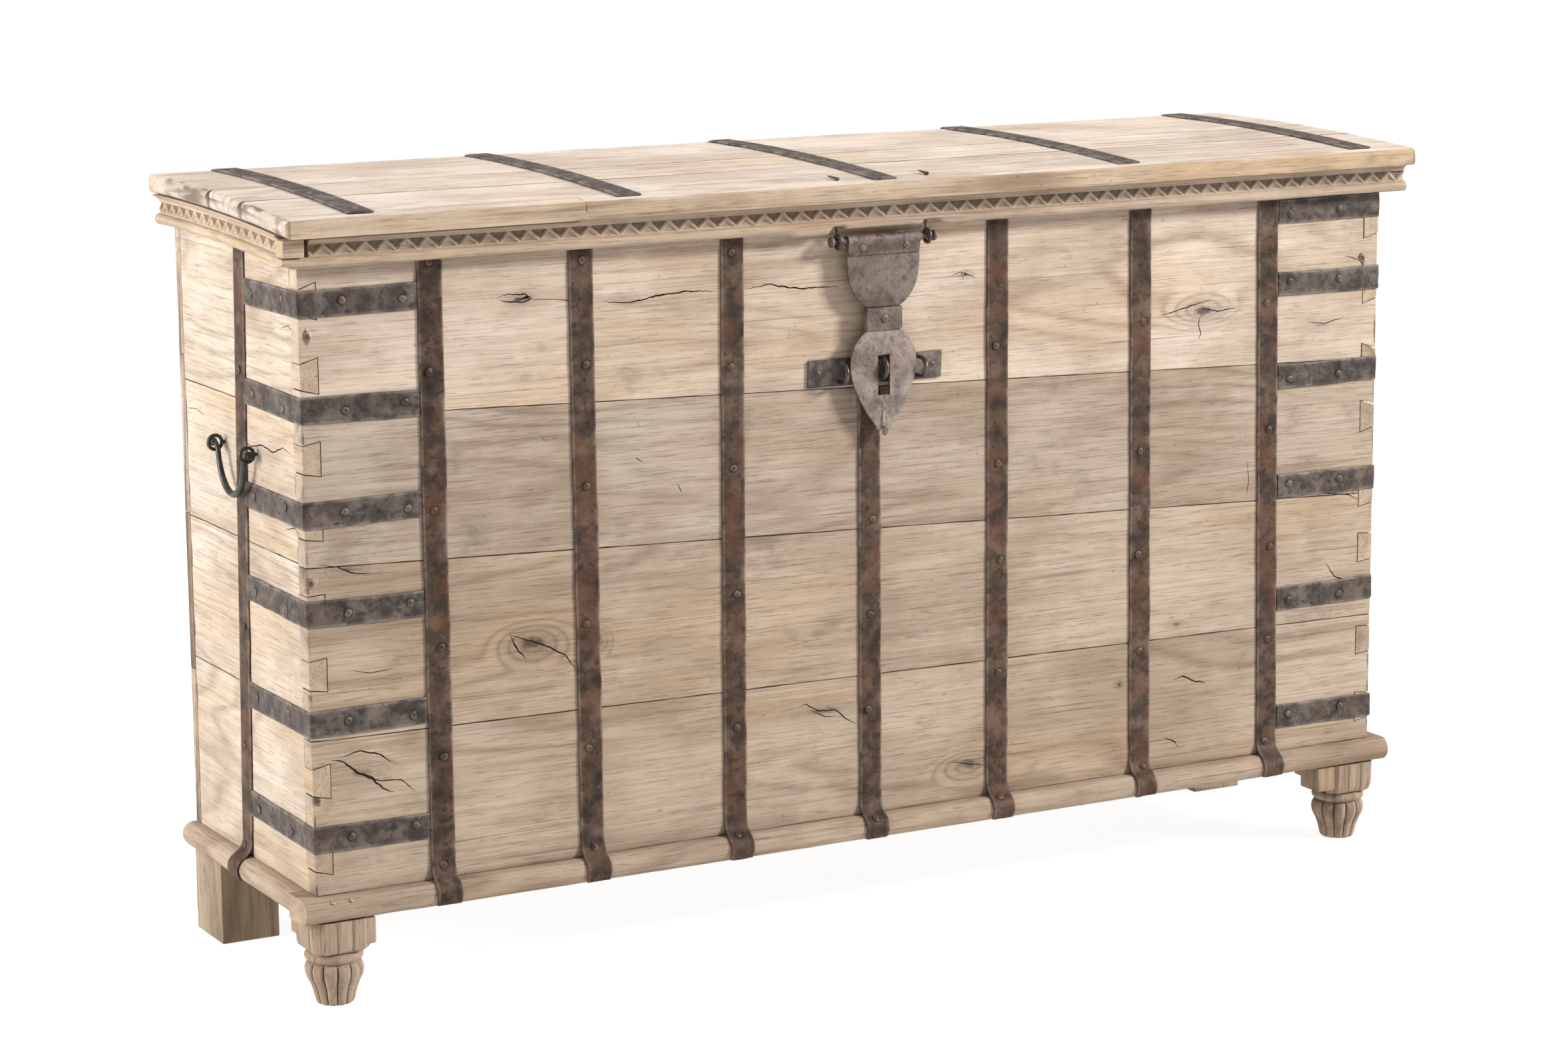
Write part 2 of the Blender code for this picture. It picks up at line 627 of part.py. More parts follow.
def loop_solid(name, x, z):
    """A forged U loop that stands out from the staple plate, its plane across the chest's length."""
    legs = FRONT - STRAP_THICK + 0.001
    out = FRONT - STAPLE_REACH
    curve = bpy.data.curves.new(name, "CURVE")
    curve.dimensions = "3D"
    curve.bevel_depth = STAPLE_WIRE_R
    curve.bevel_resolution = 2
    curve.use_fill_caps = True
    spline = curve.splines.new("POLY")
    path = [(legs, z + STAPLE_R)]
    path += [(out - STAPLE_R * math.sin(t), z + STAPLE_R * math.cos(t))
             for t in [math.pi * i / 12 for i in range(13)]]
    path.append((legs, z - STAPLE_R))
    spline.points.add(len(path) - 1)
    for point, (y, height) in zip(spline.points, path):
        point.co = (x, y, height, 1)
    wire = bpy.data.objects.new(name, curve)
    HELPERS.objects.link(wire)
    bpy.context.view_layer.update()
    mesh = bpy.data.meshes.new_from_object(wire.evaluated_get(bpy.context.evaluated_depsgraph_get()))
    bm = bmesh.new()
    bm.from_mesh(mesh)
    bmesh.ops.remove_doubles(bm, verts=bm.verts, dist=1e-5)
    bpy.data.objects.remove(wire)
    return keep(name, bm, HASP_IRON, HELPERS)


def make_staple_plate():
    y0, y1 = FRONT - GAP - STRAP_THICK, FRONT - GAP
    x0, x1 = PLATE_X - PLATE_LONG / 2, PLATE_X + PLATE_LONG / 2
    low, high = PLATE_Z - PLATE_HIGH / 2, PLATE_Z + PLATE_HIGH / 2
    plate = box("staple_plate", (x0, y0, low), (x1, y1, high), HASP_IRON)
    places = [(HASP_X, STAPLE_Z), (HASP_X - SIDE_LOOP, PLATE_Z), (HASP_X + SIDE_LOOP, PLATE_Z)]
    combine(plate, [loop_solid(f"staple_loop_{i}", x, z) for i, (x, z) in enumerate(places)])


# ---------------------------------------------------------------- handles


def make_handle(name, side):
    x, z = side * (END + HANDLE_OUT), HANDLE_HEIGHTS[side]
    for place, across in (("front", -1), ("rear", 1)):
        y = HANDLE_Y + across * HANDLE_HALF
        eye = ring(f"{name}_eye_{place}", (x, y, z), (math.pi / 2, 0, 0), HANDLE_EYE_R, HANDLE_EYE_WIRE_R,
                   IRON)
        start = sorted((side * (END + GAP), side * (END + HANDLE_OUT - HANDLE_EYE_R)))
        shank = cylinder(f"{name}_shank_{place}", (start[0], y, z), "X", HANDLE_EYE_WIRE_R - 0.0002,
                         start[1] - start[0], IRON, HELPERS, 12)
        combine(eye, [shank])
    curve = bpy.data.curves.new(name, "CURVE")
    curve.dimensions = "3D"
    curve.bevel_depth = HANDLE_WIRE_R
    curve.bevel_resolution = 3
    curve.use_fill_caps = True
    spline = curve.splines.new("POLY")
    half = HANDLE_HALF - 0.009
    bend = [(half * math.cos(t), -HANDLE_DROP * math.sin(t)) for t in [math.pi * i / 16 for i in range(17)]]
    right = [(HANDLE_HALF + 0.0100, 0, 1.35), (HANDLE_HALF + 0.0060, 0, 1.55), (HANDLE_HALF + 0.0045, 0, 1.0),
             (HANDLE_HALF - 0.004, 0, 1.0)]
    left = [(-along, drop, wide) for along, drop, wide in reversed(right)]
    path = right + [(along, drop, 1.0) for along, drop in bend[1:-1]] + left
    spline.points.add(len(path) - 1)
    for point, (along, drop, radius) in zip(spline.points, path):
        point.co = (0, along, drop, 1)
        point.radius = radius
    curve.materials.append(IRON)
    handle = bpy.data.objects.new(name, curve)
    handle.location = (x, HANDLE_Y, z)
    PIECES.objects.link(handle)


make_front()
make_end("left", -1, LEFT_SEAMS)
make_end("right", 1, RIGHT_SEAMS)
make_back_and_base()
make_legs()
make_front_straps()
make_end_strap("left_end_strap", -1)
make_end_strap("right_end_strap", 1)
make_corner_bands()
make_hasp_eyes()
make_lid_boards()
make_frieze()
make_lid_straps()
make_back_hinge("back_hinge_strap_left", LID_STRAPS[HINGE_STRAPS[0]])
make_back_hinge("back_hinge_strap_right", LID_STRAPS[HINGE_STRAPS[1]])
make_hasp()
make_staple_plate()
make_handle("left_handle", -1)
make_handle("right_handle", 1)
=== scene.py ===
"""How the wooden chest looks: worn bleached boards, hammered iron straps, a carved frieze, a hasp and two handles.

Metres, +Z up, the chest's length along X, its front towards -Y. Every piece replaces the CAD nodes it stands for.
"""

import math

import bmesh
import bpy
import numpy as np
from mathutils import Matrix, Vector


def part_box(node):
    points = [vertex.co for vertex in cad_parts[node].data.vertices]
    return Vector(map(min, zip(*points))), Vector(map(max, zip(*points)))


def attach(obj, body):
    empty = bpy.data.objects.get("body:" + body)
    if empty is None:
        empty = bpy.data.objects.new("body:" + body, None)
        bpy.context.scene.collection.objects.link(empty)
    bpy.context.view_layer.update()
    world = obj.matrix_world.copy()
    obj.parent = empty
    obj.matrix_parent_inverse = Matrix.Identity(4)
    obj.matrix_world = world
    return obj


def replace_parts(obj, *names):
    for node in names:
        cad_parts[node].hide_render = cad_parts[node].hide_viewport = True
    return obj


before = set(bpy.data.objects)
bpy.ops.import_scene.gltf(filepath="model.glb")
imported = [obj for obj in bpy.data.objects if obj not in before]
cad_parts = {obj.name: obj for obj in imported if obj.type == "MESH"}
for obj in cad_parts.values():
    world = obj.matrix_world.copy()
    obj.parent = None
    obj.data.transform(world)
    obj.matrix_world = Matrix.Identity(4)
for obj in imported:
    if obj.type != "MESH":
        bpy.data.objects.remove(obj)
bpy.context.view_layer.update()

# Driving dimensions, as in the CAD
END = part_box("front_board_1")[1].x
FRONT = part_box("front_board_1")[0].y
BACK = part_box("back_panel")[1].y
BODY_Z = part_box("base_panel")[1].z
LEG_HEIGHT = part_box("base_panel")[0].z
BASE_END, BASE_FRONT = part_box("base_panel")[1].x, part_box("base_panel")[0].y
MIDDLE_Y = (FRONT + BACK) / 2
BOARD_THICK = 0.022
BACK_THICK = 0.016
BOARD_DENTS = 0.0004
GAP = 0.0003
CREST_Y, CREST_Z, CAMBER = MIDDLE_Y + 0.150, BODY_Z + 0.8015, 0.092
LID_THICK = 0.022
LID_FRONT, LID_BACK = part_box("lid_board_front")[0].y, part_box("lid_board_rear")[1].y
LID_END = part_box("lid_board_front")[1].x
LID_SEAMS = (MIDDLE_Y + 0.004, MIDDLE_Y - 0.098)
FRONT_SEAMS = ((0.1760, -0.0101), (0.3589, -0.0361), (0.5345, -0.0322))
LEFT_SEAMS = (0.212, 0.388, 0.555)
RIGHT_SEAMS = (0.388,)
PIN_HEIGHTS = (0.045, 0.135, 0.260, 0.335, 0.435, 0.510, 0.605, 0.690)
STRAP_WIDE = 0.031
STRAP_THICK = 0.003
NAIL_RADIUS = 0.0047
FRONT_STRAPS = ((-0.590, 0.0), (-0.398, 0.003), (-0.202, -0.003), (-0.014, 0.0), (0.169, 0.0), (0.382, 0.005),
                (0.579, 0.009))
LEFT_BANDS = (0.0671, 0.2032, 0.3316, 0.4459, 0.5663, 0.6866)
RIGHT_BANDS = (0.0458, 0.2059, 0.3532, 0.4984, 0.6173, 0.7120)
LID_STRAPS = (-0.682, -0.348, -0.005, 0.344, 0.698)
HASP_X, HASP_Y, HASP_Z = -0.003, FRONT - 0.0165, BODY_Z + 0.716
HASP_HALF_THICK = 0.00175
STAPLE_RADIUS, STAPLE_WIRE, STAPLE_REACH, SIDE_LOOP = 0.01175, 0.00275, 0.0140, 0.055
STAPLE_PLATE_THICK = 0.0028
HANDLE_Y = MIDDLE_Y - 0.003
HANDLE_REACH, HANDLE_DROP, HANDLE_RADIUS = 0.052, 0.054, 0.0040
LEG_X, LEG_Y = 0.7205, FRONT + 0.024
STRAP_TOP, SHORT_STRAP_TOP = 0.757, 0.533  # over the base; the strap under the hasp is the short one
LEAN_LENGTH, LEAN_CENTRE = 0.7, 0.37  # a front strap leans sideways over this length, about this height
STRIP_END_X = -0.410  # where the lid's square front strip ends and the rounder one starts
SLIT = 0.0006  # half the gap between those two strips
SIDES = 12  # of a rod or a nail head, where nothing else is given

# ---------------------------------------------------------------- shapes

CELLS = 32
LATTICE = np.random.default_rng(11).random((CELLS, CELLS, CELLS))


def lumps(points, size, seed=0.0):
    """Smooth noise from -1 to 1 at (..., 3) points, with lumps of the given size."""
    where = np.asarray(points, float) / size + seed * 7.31 + 100.0
    cell = np.floor(where).astype(int)
    part = where - cell
    part = part * part * (3 - 2 * part)
    total = np.zeros(where.shape[:-1])
    for corner in np.ndindex(2, 2, 2):
        weight = np.ones(where.shape[:-1])
        for axis in range(3):
            weight = weight * (part[..., axis] if corner[axis] else 1 - part[..., axis])
        spot = (cell + np.array(corner)) % CELLS
        total = total + weight * LATTICE[spot[..., 0], spot[..., 1], spot[..., 2]]
    return 2 * total - 1


def wander(along, size, seed):
    """The same noise along one line."""
    along = np.asarray(along, float)
    points = np.stack([along, np.full_like(along, seed * 3.7), np.full_like(along, seed * 1.9)], axis=-1)
    return lumps(points, (size, 1.0, 1.0), seed)


def smooth(value, low, high):
    """0 below low, 1 above high, and a smooth step between."""
    share = np.clip((np.asarray(value, float) - low) / (high - low), 0, 1)
    return share * share * (3 - 2 * share)


def circle(count):
    """Angles of count points round a circle."""
    return np.arange(count) * 2 * math.pi / count


def unit(rows):
    """Each row of vectors at length 1."""
    return rows / np.linalg.norm(rows, axis=1)[:, None]


def lengths_along(path):
    """The length of path up to each of its points."""
    return np.concatenate([[0], np.cumsum(np.linalg.norm(np.diff(path, axis=0), axis=1))])


class Shape:
    """Points and faces collected for one piece; wear is 1 where it's polished and -1 in its hollows with dirt; on
    the frieze its low values are painted shade in the carving's recesses and a painted shadow under the lid's
    nosing, and on iron its high values also paint a highlight along the edges.
    """

    def __init__(self):
        self.points, self.faces, self.slots, self.wear = [], [], [], []

    def loft(self, sections, wear=None, slot=0, closed=False):
        """A skin over rows of points, each a closed loop; its two ends are capped, or joined if closed."""
        sections = np.asarray(sections, float)
        rows, count = sections.shape[:2]
        index = len(self.points) + np.arange(rows * count).reshape(rows, count)
        nearer, further = (index, np.roll(index, -1, axis=0)) if closed else (index[:-1], index[1:])
        quads = np.stack([nearer, np.roll(nearer, -1, axis=1), np.roll(further, -1, axis=1), further], axis=-1)
        faces = quads.reshape(-1, 4).tolist()
        if not closed:
            faces += [index[0, ::-1].tolist(), index[-1].tolist()]
        self.points += sections.reshape(-1, 3).tolist()
        self.wear += (np.zeros(rows * count) if wear is None else np.asarray(wear).reshape(-1)).tolist()
        self.faces += faces
        self.slots += [slot] * len(faces)
        return self

    def tube(self, path, radii, slot=0, closed=False, sides=SIDES, wear=0.4, flat=1.0):
        """A round rod along a path; flat squeezes it along its second direction."""
        path = np.asarray(path, float)
        radii = np.broadcast_to(np.asarray(radii, float), len(path))
        ahead = np.roll(path, -1, axis=0) - np.roll(path, 1, axis=0) if closed else np.gradient(path, axis=0)
        ahead = unit(ahead)
        spread = np.linalg.svd(path - path.mean(0))[2]
        plane = spread[2] if np.linalg.norm(np.cross(spread[0], ahead[0])) > 1e-6 or len(path) > 3 else spread[1]
        if abs(ahead @ plane).max() > 0.9:
            plane = spread[1]
        first = unit(np.cross(ahead, plane))
        second = np.cross(ahead, first)
        turn = circle(sides)
        sections = (path[:, None, :]
                    + radii[:, None, None] * (np.cos(turn)[None, :, None] * first[:, None, :]
                                              + flat * np.sin(turn)[None, :, None] * second[:, None, :]))
        return self.loft(sections, np.full(sections.shape[:2], wear), slot, closed)

    def dome(self, centre, outward, radius, height, seed, slot=0):
        """A hand-made nail head or rivet, slightly uneven, on a surface at centre."""
        outward = np.asarray(outward, float) / np.linalg.norm(outward)
        aside = np.cross(outward, (0.0, 0.31, 0.95) if abs(outward[0]) > 0.9 else (1.0, 0.0, 0.0))
        aside /= np.linalg.norm(aside)
        other = np.cross(outward, aside)
        turn = circle(SIDES)
        uneven = 1 + 0.10 * np.sin(2 * turn + seed) + 0.06 * np.sin(3 * turn + 2 * seed)
        rows, wear = [], []
        for reach, rise, worn in ((1.0, -0.4, -0.9), (1.0, 0.1, -0.6), (0.90, 0.55, 0.9),
                                  (0.62, 0.9, 0.3), (0.2, 1.0, 0.0)):
            ringed = radius * reach * uneven
            around = np.cos(turn)[:, None] * aside + np.sin(turn)[:, None] * other
            rows.append(np.asarray(centre) + ringed[:, None] * around + height * rise * outward)
            wear.append(np.full(SIDES, worn))
        return self.loft(rows, wear, slot)

    def block(self, low, high, round_by, seed, rough=0.0):
        """A small worn block with rounded upright edges and ends."""
        low, high = np.asarray(low, float), np.asarray(high, float)
        count = 32
        turn = (np.arange(count) + 0.5) * 2 * math.pi / count
        rows = []
        for height, inset in ((low[2], 1.0), (low[2] + 0.3 * round_by, 0.3), (low[2] + round_by, 0.0),
                              ((low[2] + high[2]) / 2, 0.0), (high[2] - round_by, 0.0),
                              (high[2] - 0.3 * round_by, 0.3), (high[2], 1.0)):
            half = (high[:2] - low[:2]) / 2 - inset * round_by
            corner = np.minimum(half, round_by)
            x = np.sign(np.cos(turn)) * (half[0] - corner[0]) + corner[0] * np.cos(turn)
            y = np.sign(np.sin(turn)) * (half[1] - corner[1]) + corner[1] * np.sin(turn)
            middle = (low[:2] + high[:2]) / 2
            rows.append(np.stack([middle[0] + x, middle[1] + y, np.full_like(x, height)], axis=-1))
        rows = np.array(rows)
        rows += rough * lumps(rows, 0.011, seed)[..., None]
        return self.loft(rows)

    def make(self, name, body, nodes, finishes, slot, cutter=None, crease=38):
        """Turns it into the piece that replaces those CAD nodes and rides on their body."""
        mesh = bpy.data.meshes.new(name)
        mesh.from_pydata(self.points, [], self.faces)
        mesh.attributes.new("wear", "FLOAT", "POINT").data.foreach_set("value", self.wear)
        for finish in finishes:
            mesh.materials.append(finish)
        mesh.polygons.foreach_set("material_index", self.slots)
        obj = bpy.data.objects.new(name, mesh)
        bpy.context.scene.collection.objects.link(obj)
        if cutter:
            cut = obj.modifiers.new("cuts", "BOOLEAN")
            cut.operation, cut.object, cut.solver = "DIFFERENCE", cutter, "EXACT"
            cut.use_self = True
            graph = bpy.context.evaluated_depsgraph_get()
            obj.data = bpy.data.meshes.new_from_object(obj.evaluated_get(graph))
            obj.modifiers.clear()
        tidy_mesh(obj.data, crease)
        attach(obj, body)
        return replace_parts(obj, *nodes)


def tidy_mesh(mesh, crease):
    """Faces outward, smooth shading, and hard edges where the surface turns by more than crease degrees."""
    bm = bmesh.new()
    bm.from_mesh(mesh)
    bmesh.ops.recalc_face_normals(bm, faces=bm.faces)
    limit = math.radians(crease)
    for face in bm.faces:
        face.smooth = True
    for edge in bm.edges:
        edge.smooth = edge.calc_face_angle(0.0) < limit
    bm.to_mesh(mesh)
    bm.free()


def plank(shape, place, along, low, high, thick, seed, wear=0.0015, rows=24, under_rows=1,
          end_wear=0.0006, front_wear=None, edge_wear=(-1.0, -1.0), nose_slot=0):
    """A worn board. along runs down its length; low and high are its edges there; place(u, v, w) gives the points,
    with w from 0 at its inner face to thick at its outer face. wear is how far its long edges are rounded,
    end_wear its ends, and edge_wear the two edges' dirt (-1) or polish (1)."""
    along = np.asarray(along, float)
    low, high = np.broadcast_to(low, along.shape), np.broadcast_to(high, along.shape)
    low = low + 0.00040 * (1 + wander(along, 0.02, seed + 0.2))
    high = high - 0.00040 * (1 + wander(along, 0.02, seed + 0.4))
    chips = [wear * (0.35 + 1.3 * np.clip(wander(along, 0.05, seed + s), 0, 1) ** 2
                     + 0.5 * np.clip(wander(along, 0.012, seed + s), 0, 1)) for s in (0.6, 0.8)]
    if front_wear is not None:
        chips[0] = chips[0] + front_wear
    length = along[-1] - along[0]
    near_end = np.clip(np.minimum(along - along[0], along[-1] - along) / end_wear, 0, 1)
    inset = end_wear * (1 - np.sqrt(1 - (1 - near_end) ** 2)) if length > 0 else 0
    low, high = low + 0.6 * inset, high - 0.6 * inset
    share = np.linspace(0, 1, rows + 1)
    face = (low + chips[0])[:, None] + (high - chips[1] - low - chips[0])[:, None] * share
    v = np.column_stack([low, low + 0.12 * chips[0], low + 0.45 * chips[0], face,
                         high - 0.45 * chips[1], high - 0.12 * chips[1], high])
    w = thick - np.column_stack([chips[0], 0.5 * chips[0], 0.13 * chips[0], np.zeros_like(face),
                                 0.13 * chips[1], 0.5 * chips[1], chips[1]]) - inset[:, None]
    under = np.linspace(1, 0, under_rows + 1)
    v = np.hstack([v, low[:, None] + (high - low)[:, None] * under])
    w = np.hstack([w, np.zeros((len(along), under_rows + 1)) + inset[:, None]])
    u = np.broadcast_to(along[:, None], v.shape)
    flat = np.stack([u, v, np.full_like(u, seed)], axis=-1)
    outer = np.zeros_like(v)
    outer[:, 2:-under_rows - 3] = 1
    w = w + outer * BOARD_DENTS * (lumps(flat, (0.22, 0.05, 1.0), seed)
                                   + 0.4 * lumps(flat, (0.05, 0.012, 1.0), seed + 1) - 1.2)
    worn = np.zeros_like(v)
    worn[:, :3] = edge_wear[0] * np.array([1.0, 0.8, 0.3])
    worn[:, rows + 4:rows + 7] = edge_wear[1] * np.array([0.3, 0.8, 1.0])
    ends = np.minimum(along - along[0], along[-1] - along) < max(0.004, end_wear)
    worn[ends] -= 0.8 * smooth(lumps(flat[ends], (0.004, 0.020, 1.0), seed + 2), -0.1, 0.6)
    first = len(shape.slots)
    shape.loft(np.stack(place(u, v, w), axis=-1), np.clip(worn, -1, 1))
    if nose_slot:  # the lower edge and its rounding
        count = v.shape[1]
        for row in range(len(along) - 1):
            for column in (0, 1, count - 1):
                shape.slots[first + row * count + column] = nose_slot
    return shape


def spaced(low, high, step, fine=0.004):
    """Stations from low to high, closer together at both ends."""
    return np.concatenate([low + fine * np.array([0, 0.08, 0.3, 0.65]),
                           np.linspace(low + fine, high - fine, max(3, round((high - low) / step))),
                           high - fine * np.array([0.65, 0.3, 0.08, 0])])


def resample(points, step):
    """The same line with its points about step apart."""
    points = np.asarray(points, float)
    reach = lengths_along(points)
    at = np.linspace(0, reach[-1], max(2, round(reach[-1] / step)) + 1)
    return np.column_stack([np.interp(at, reach, points[:, i]) for i in range(3)])


def strap(path, across, seed, nails=(), proud=0.0025):
    """Hammered flat iron along a path on a surface; nails are points along it, as shares of its length."""
    shape = Shape()
    path = resample(path, 0.0035)
    across = np.asarray(across, float)
    ahead = unit(np.gradient(path, axis=0))
    out = unit(np.cross(across, ahead))
    reach = lengths_along(path)
    aside = np.array([-1, -1, -0.94, -0.78, -0.5, -0.2, 0.2, 0.5, 0.78, 0.94, 1, 1])
    rise = np.array([0, 0.55, 0.9, 1, 1, 1, 1, 1, 1, 0.9, 0.55, 0])
    edges = [STRAP_WIDE / 2 + 0.0007 * wander(reach, 0.035, seed + s) + 0.0003 * wander(reach, 0.008, seed + s)
             for s in (0.1, 0.3)]
    half = np.where(aside < 0, edges[0][:, None], edges[1][:, None])
    spot = np.stack([np.broadcast_to(reach[:, None], half.shape), aside * half, np.full_like(half, seed)], axis=-1)
    dents = 0.0011 * np.clip(lumps(spot, 0.014, seed) - 0.05, 0, 1) + 0.0006 * lumps(spot, 0.026, seed + 1)
    height = rise * (STRAP_THICK - 0.0005) - (rise > 0.95) * dents
    sections = (path[:, None, :] + (aside * half)[..., None] * across + height[..., None] * out[:, None, :])
    # the rounded edges get high wear: worn iron, and a painted highlight along the edges
    worn = np.broadcast_to(smooth(abs(aside), 0.75, 0.95) * (rise > 0.5), half.shape) - 600 * dents
    for number, share in enumerate(nails):
        at = int(share * (len(path) - 1))
        side = 0.12 * STRAP_WIDE * math.sin(5 * number + 3 * seed)
        shape.dome(path[at] + side * across + (STRAP_THICK - 0.0008) * out[at], out[at], NAIL_RADIUS, proud,
                   seed + number)
        hollow = np.linalg.norm(sections - path[at] - side * across, axis=-1)
        worn = worn - 1.2 * (1 - smooth(hollow, NAIL_RADIUS, NAIL_RADIUS + 0.0035))
    return shape.loft(sections, np.clip(worn, -1, 1))


# ---------------------------------------------------------------- finishes


def put(tree, kind, values=None, **settings):
    """Adds a node; each value is a number, a colour or another node's output."""
    node = tree.nodes.new("ShaderNode" + kind)
    for key, value in settings.items():
        setattr(node, key, value)
    for key, value in (values or {}).items():
        if isinstance(value, bpy.types.NodeSocket):
            tree.links.new(value, node.inputs[key])
        else:
            node.inputs[key].default_value = value
    return node


def calc(tree, operation, first, second=0.0):
    return put(tree, "Math", {0: first, 1: second}, operation=operation).outputs[0]


def times(tree, first, second):
    return calc(tree, "MULTIPLY", first, second)


def vector_calc(tree, operation, first, second):
    return put(tree, "VectorMath", {0: first, 1: second}, operation=operation).outputs[0]


def ramp(tree, value, low, high, start=0.0, stop=1.0):
    """A smooth step of value between low and high, from start to stop."""
    values = {"Value": value, "From Min": low, "From Max": high, "To Min": start, "To Max": stop}
    return put(tree, "MapRange", values, interpolation_type="SMOOTHSTEP").outputs[0]


def mixed(tree, share, first, second, kind="MIX"):
    return put(tree, "Mix", {0: share, 6: first, 7: second}, data_type="RGBA", blend_type=kind).outputs[2]


def noise(tree, place, scale, detail, rough):
    values = {"Vector": place, "Scale": scale, "Detail": detail, "Roughness": rough}
    return put(tree, "TexNoise", values).outputs[0]


def grain_noise(tree, where, stretch, detail=2.0, rough=0.5, shift=0.0):
    """Noise whose lumps are 1 / stretch metres long along each axis."""
    scaled = vector_calc(tree, "MULTIPLY", where, stretch)
    return noise(tree, vector_calc(tree, "ADD", scaled, (shift, shift * 0.7, shift * 1.3)), 1.0, detail, rough)


def shade(colour, by=1.0):
    """A colour with its alpha, made darker by a factor."""
    return *[by * part for part in colour], 1


def wood_group():
    """Worn bleached wood. The vector's X runs along the grain, in metres."""
    tree = bpy.data.node_groups.new("worn_wood", "ShaderNodeTree")
    for name, kind, value in (("Vector", "NodeSocketVector", None), ("Figure", "NodeSocketFloat", 0.0),
                              ("Mark", "NodeSocketFloat", 0.0), ("Stain", "NodeSocketFloat", 0.5),
                              ("Tint", "NodeSocketColor", (1, 1, 1, 1)), ("Grain", "NodeSocketFloat", 1.0)):
        socket = tree.interface.new_socket(name=name, in_out="INPUT", socket_type=kind)
        if value is not None:
            socket.default_value = value
    tree.interface.new_socket(name="Color", in_out="OUTPUT", socket_type="NodeSocketColor")
    tree.interface.new_socket(name="Height", in_out="OUTPUT", socket_type="NodeSocketFloat")
    given = tree.nodes.new("NodeGroupInput").outputs
    where = given["Vector"]

    def grains(stretch, detail=2.0, rough=0.5, shift=0.0):
        return grain_noise(tree, where, (stretch[0], stretch[1], stretch[1]), detail, rough, shift)

    broad = grains((1.3, 7.5), 1.5)
    saw = calc(tree, "FRACT", times(tree, calc(tree, "ADD", broad, given["Figure"]), 13.0))
    line = calc(tree, "POWER", ramp(tree, calc(tree, "PINGPONG", saw, 0.5), 0.0, 0.5), 3.0)
    where_figured = ramp(tree, grains((2.0, 6.0), 1.0, shift=5.0), 0.42, 0.62)
    streak = grains((3.5, 95.0), 3.0, 0.6, 11.0)
    fine = grains((9.0, 420.0), 2.0, 0.6, 3.0)
    pores = ramp(tree, grains((26.0, 620.0), 1.0, shift=8.0), 0.62, 0.72)
    lines = ramp(tree, grains((3.5, 260.0), 2.0, 0.6, 41.0), 0.60, 0.76)
    patch = ramp(tree, grains((4.2, 6.5), 5.0, 0.62, 17.0), 0.36, 0.64)
    golden = ramp(tree, grains((2.2, 9.0), 3.0, 0.6, 53.0), 0.46, 0.68)
    rubbed = ramp(tree, grains((14.0, 30.0), 5.0, 0.7, 67.0), 0.52, 0.72)
    blotch = ramp(tree, grains((11.0, 17.0), 5.0, 0.7, 29.0), 0.56, 0.74)
    specks = ramp(tree, grains((90.0, 160.0), 2.0, 0.6, 71.0), 0.68, 0.78)
    grained = times(tree, ramp(tree, streak, 0.50, 0.75), times(tree, given["Grain"], 0.24))
    figured = times(tree, times(tree, line, where_figured), 0.50)

    tan, cream, brown = (0.325, 0.248, 0.184, 1), (0.445, 0.360, 0.284, 1), (0.170, 0.110, 0.070, 1)
    dark, chalk, amber = (0.085, 0.055, 0.037, 1), (0.60, 0.53, 0.45, 1), (0.420, 0.300, 0.185, 1)
    colour = mixed(tree, patch, tan, cream)
    for share, over in (
            (times(tree, golden, 0.50), amber), (grained, brown), (times(tree, figured, given["Grain"]), brown),
            (ramp(tree, streak, 0.28, 0.48, 0.12, 0.0), chalk), (times(tree, rubbed, 0.17), chalk),
            (ramp(tree, fine, 0.38, 0.70, 0.0, 0.30), brown), (times(tree, lines, 0.42), dark),
            (times(tree, pores, 0.30), dark), (times(tree, specks, 0.40), dark),
            (times(tree, blotch, given["Stain"]), (0.165, 0.132, 0.102, 1)),
            (given["Mark"], (0.050, 0.035, 0.027, 1))):
        colour = mixed(tree, share, colour, over)
    colour = mixed(tree, 1.0, colour, given["Tint"], "MULTIPLY")
    height = calc(tree, "ADD", times(tree, streak, -0.5), times(tree, fine, -0.5))
    height = calc(tree, "SUBTRACT", height, times(tree, calc(tree, "ADD", pores, lines), 0.5))
    height = calc(tree, "SUBTRACT", height, times(tree, given["Mark"], 2.0))
    out = tree.nodes.new("NodeGroupOutput").inputs
    tree.links.new(colour, out["Color"])
    tree.links.new(height, out["Height"])
    return tree


WOOD = wood_group()
GRAIN_ORDER = {"X": "XYZ", "Y": "YXZ", "Z": "ZXY"}


def new_material(name):
    made = bpy.data.materials.new(name)
    made.use_nodes = True
    return made, made.node_tree, made.node_tree.nodes["Principled BSDF"]


def face_distance(tree, place, centre, size):
    """How far a point of the front is from centre, in units of size; wood() makes the outline ragged."""
    offset = vector_calc(tree, "SUBTRACT", place, (centre[0], FRONT, BODY_Z + centre[1]))
    scaled = vector_calc(tree, "MULTIPLY", offset, (1 / size[0], 12.0, 1 / size[1]))
    return put(tree, "VectorMath", {0: scaled}, operation="LENGTH").outputs["Value"]


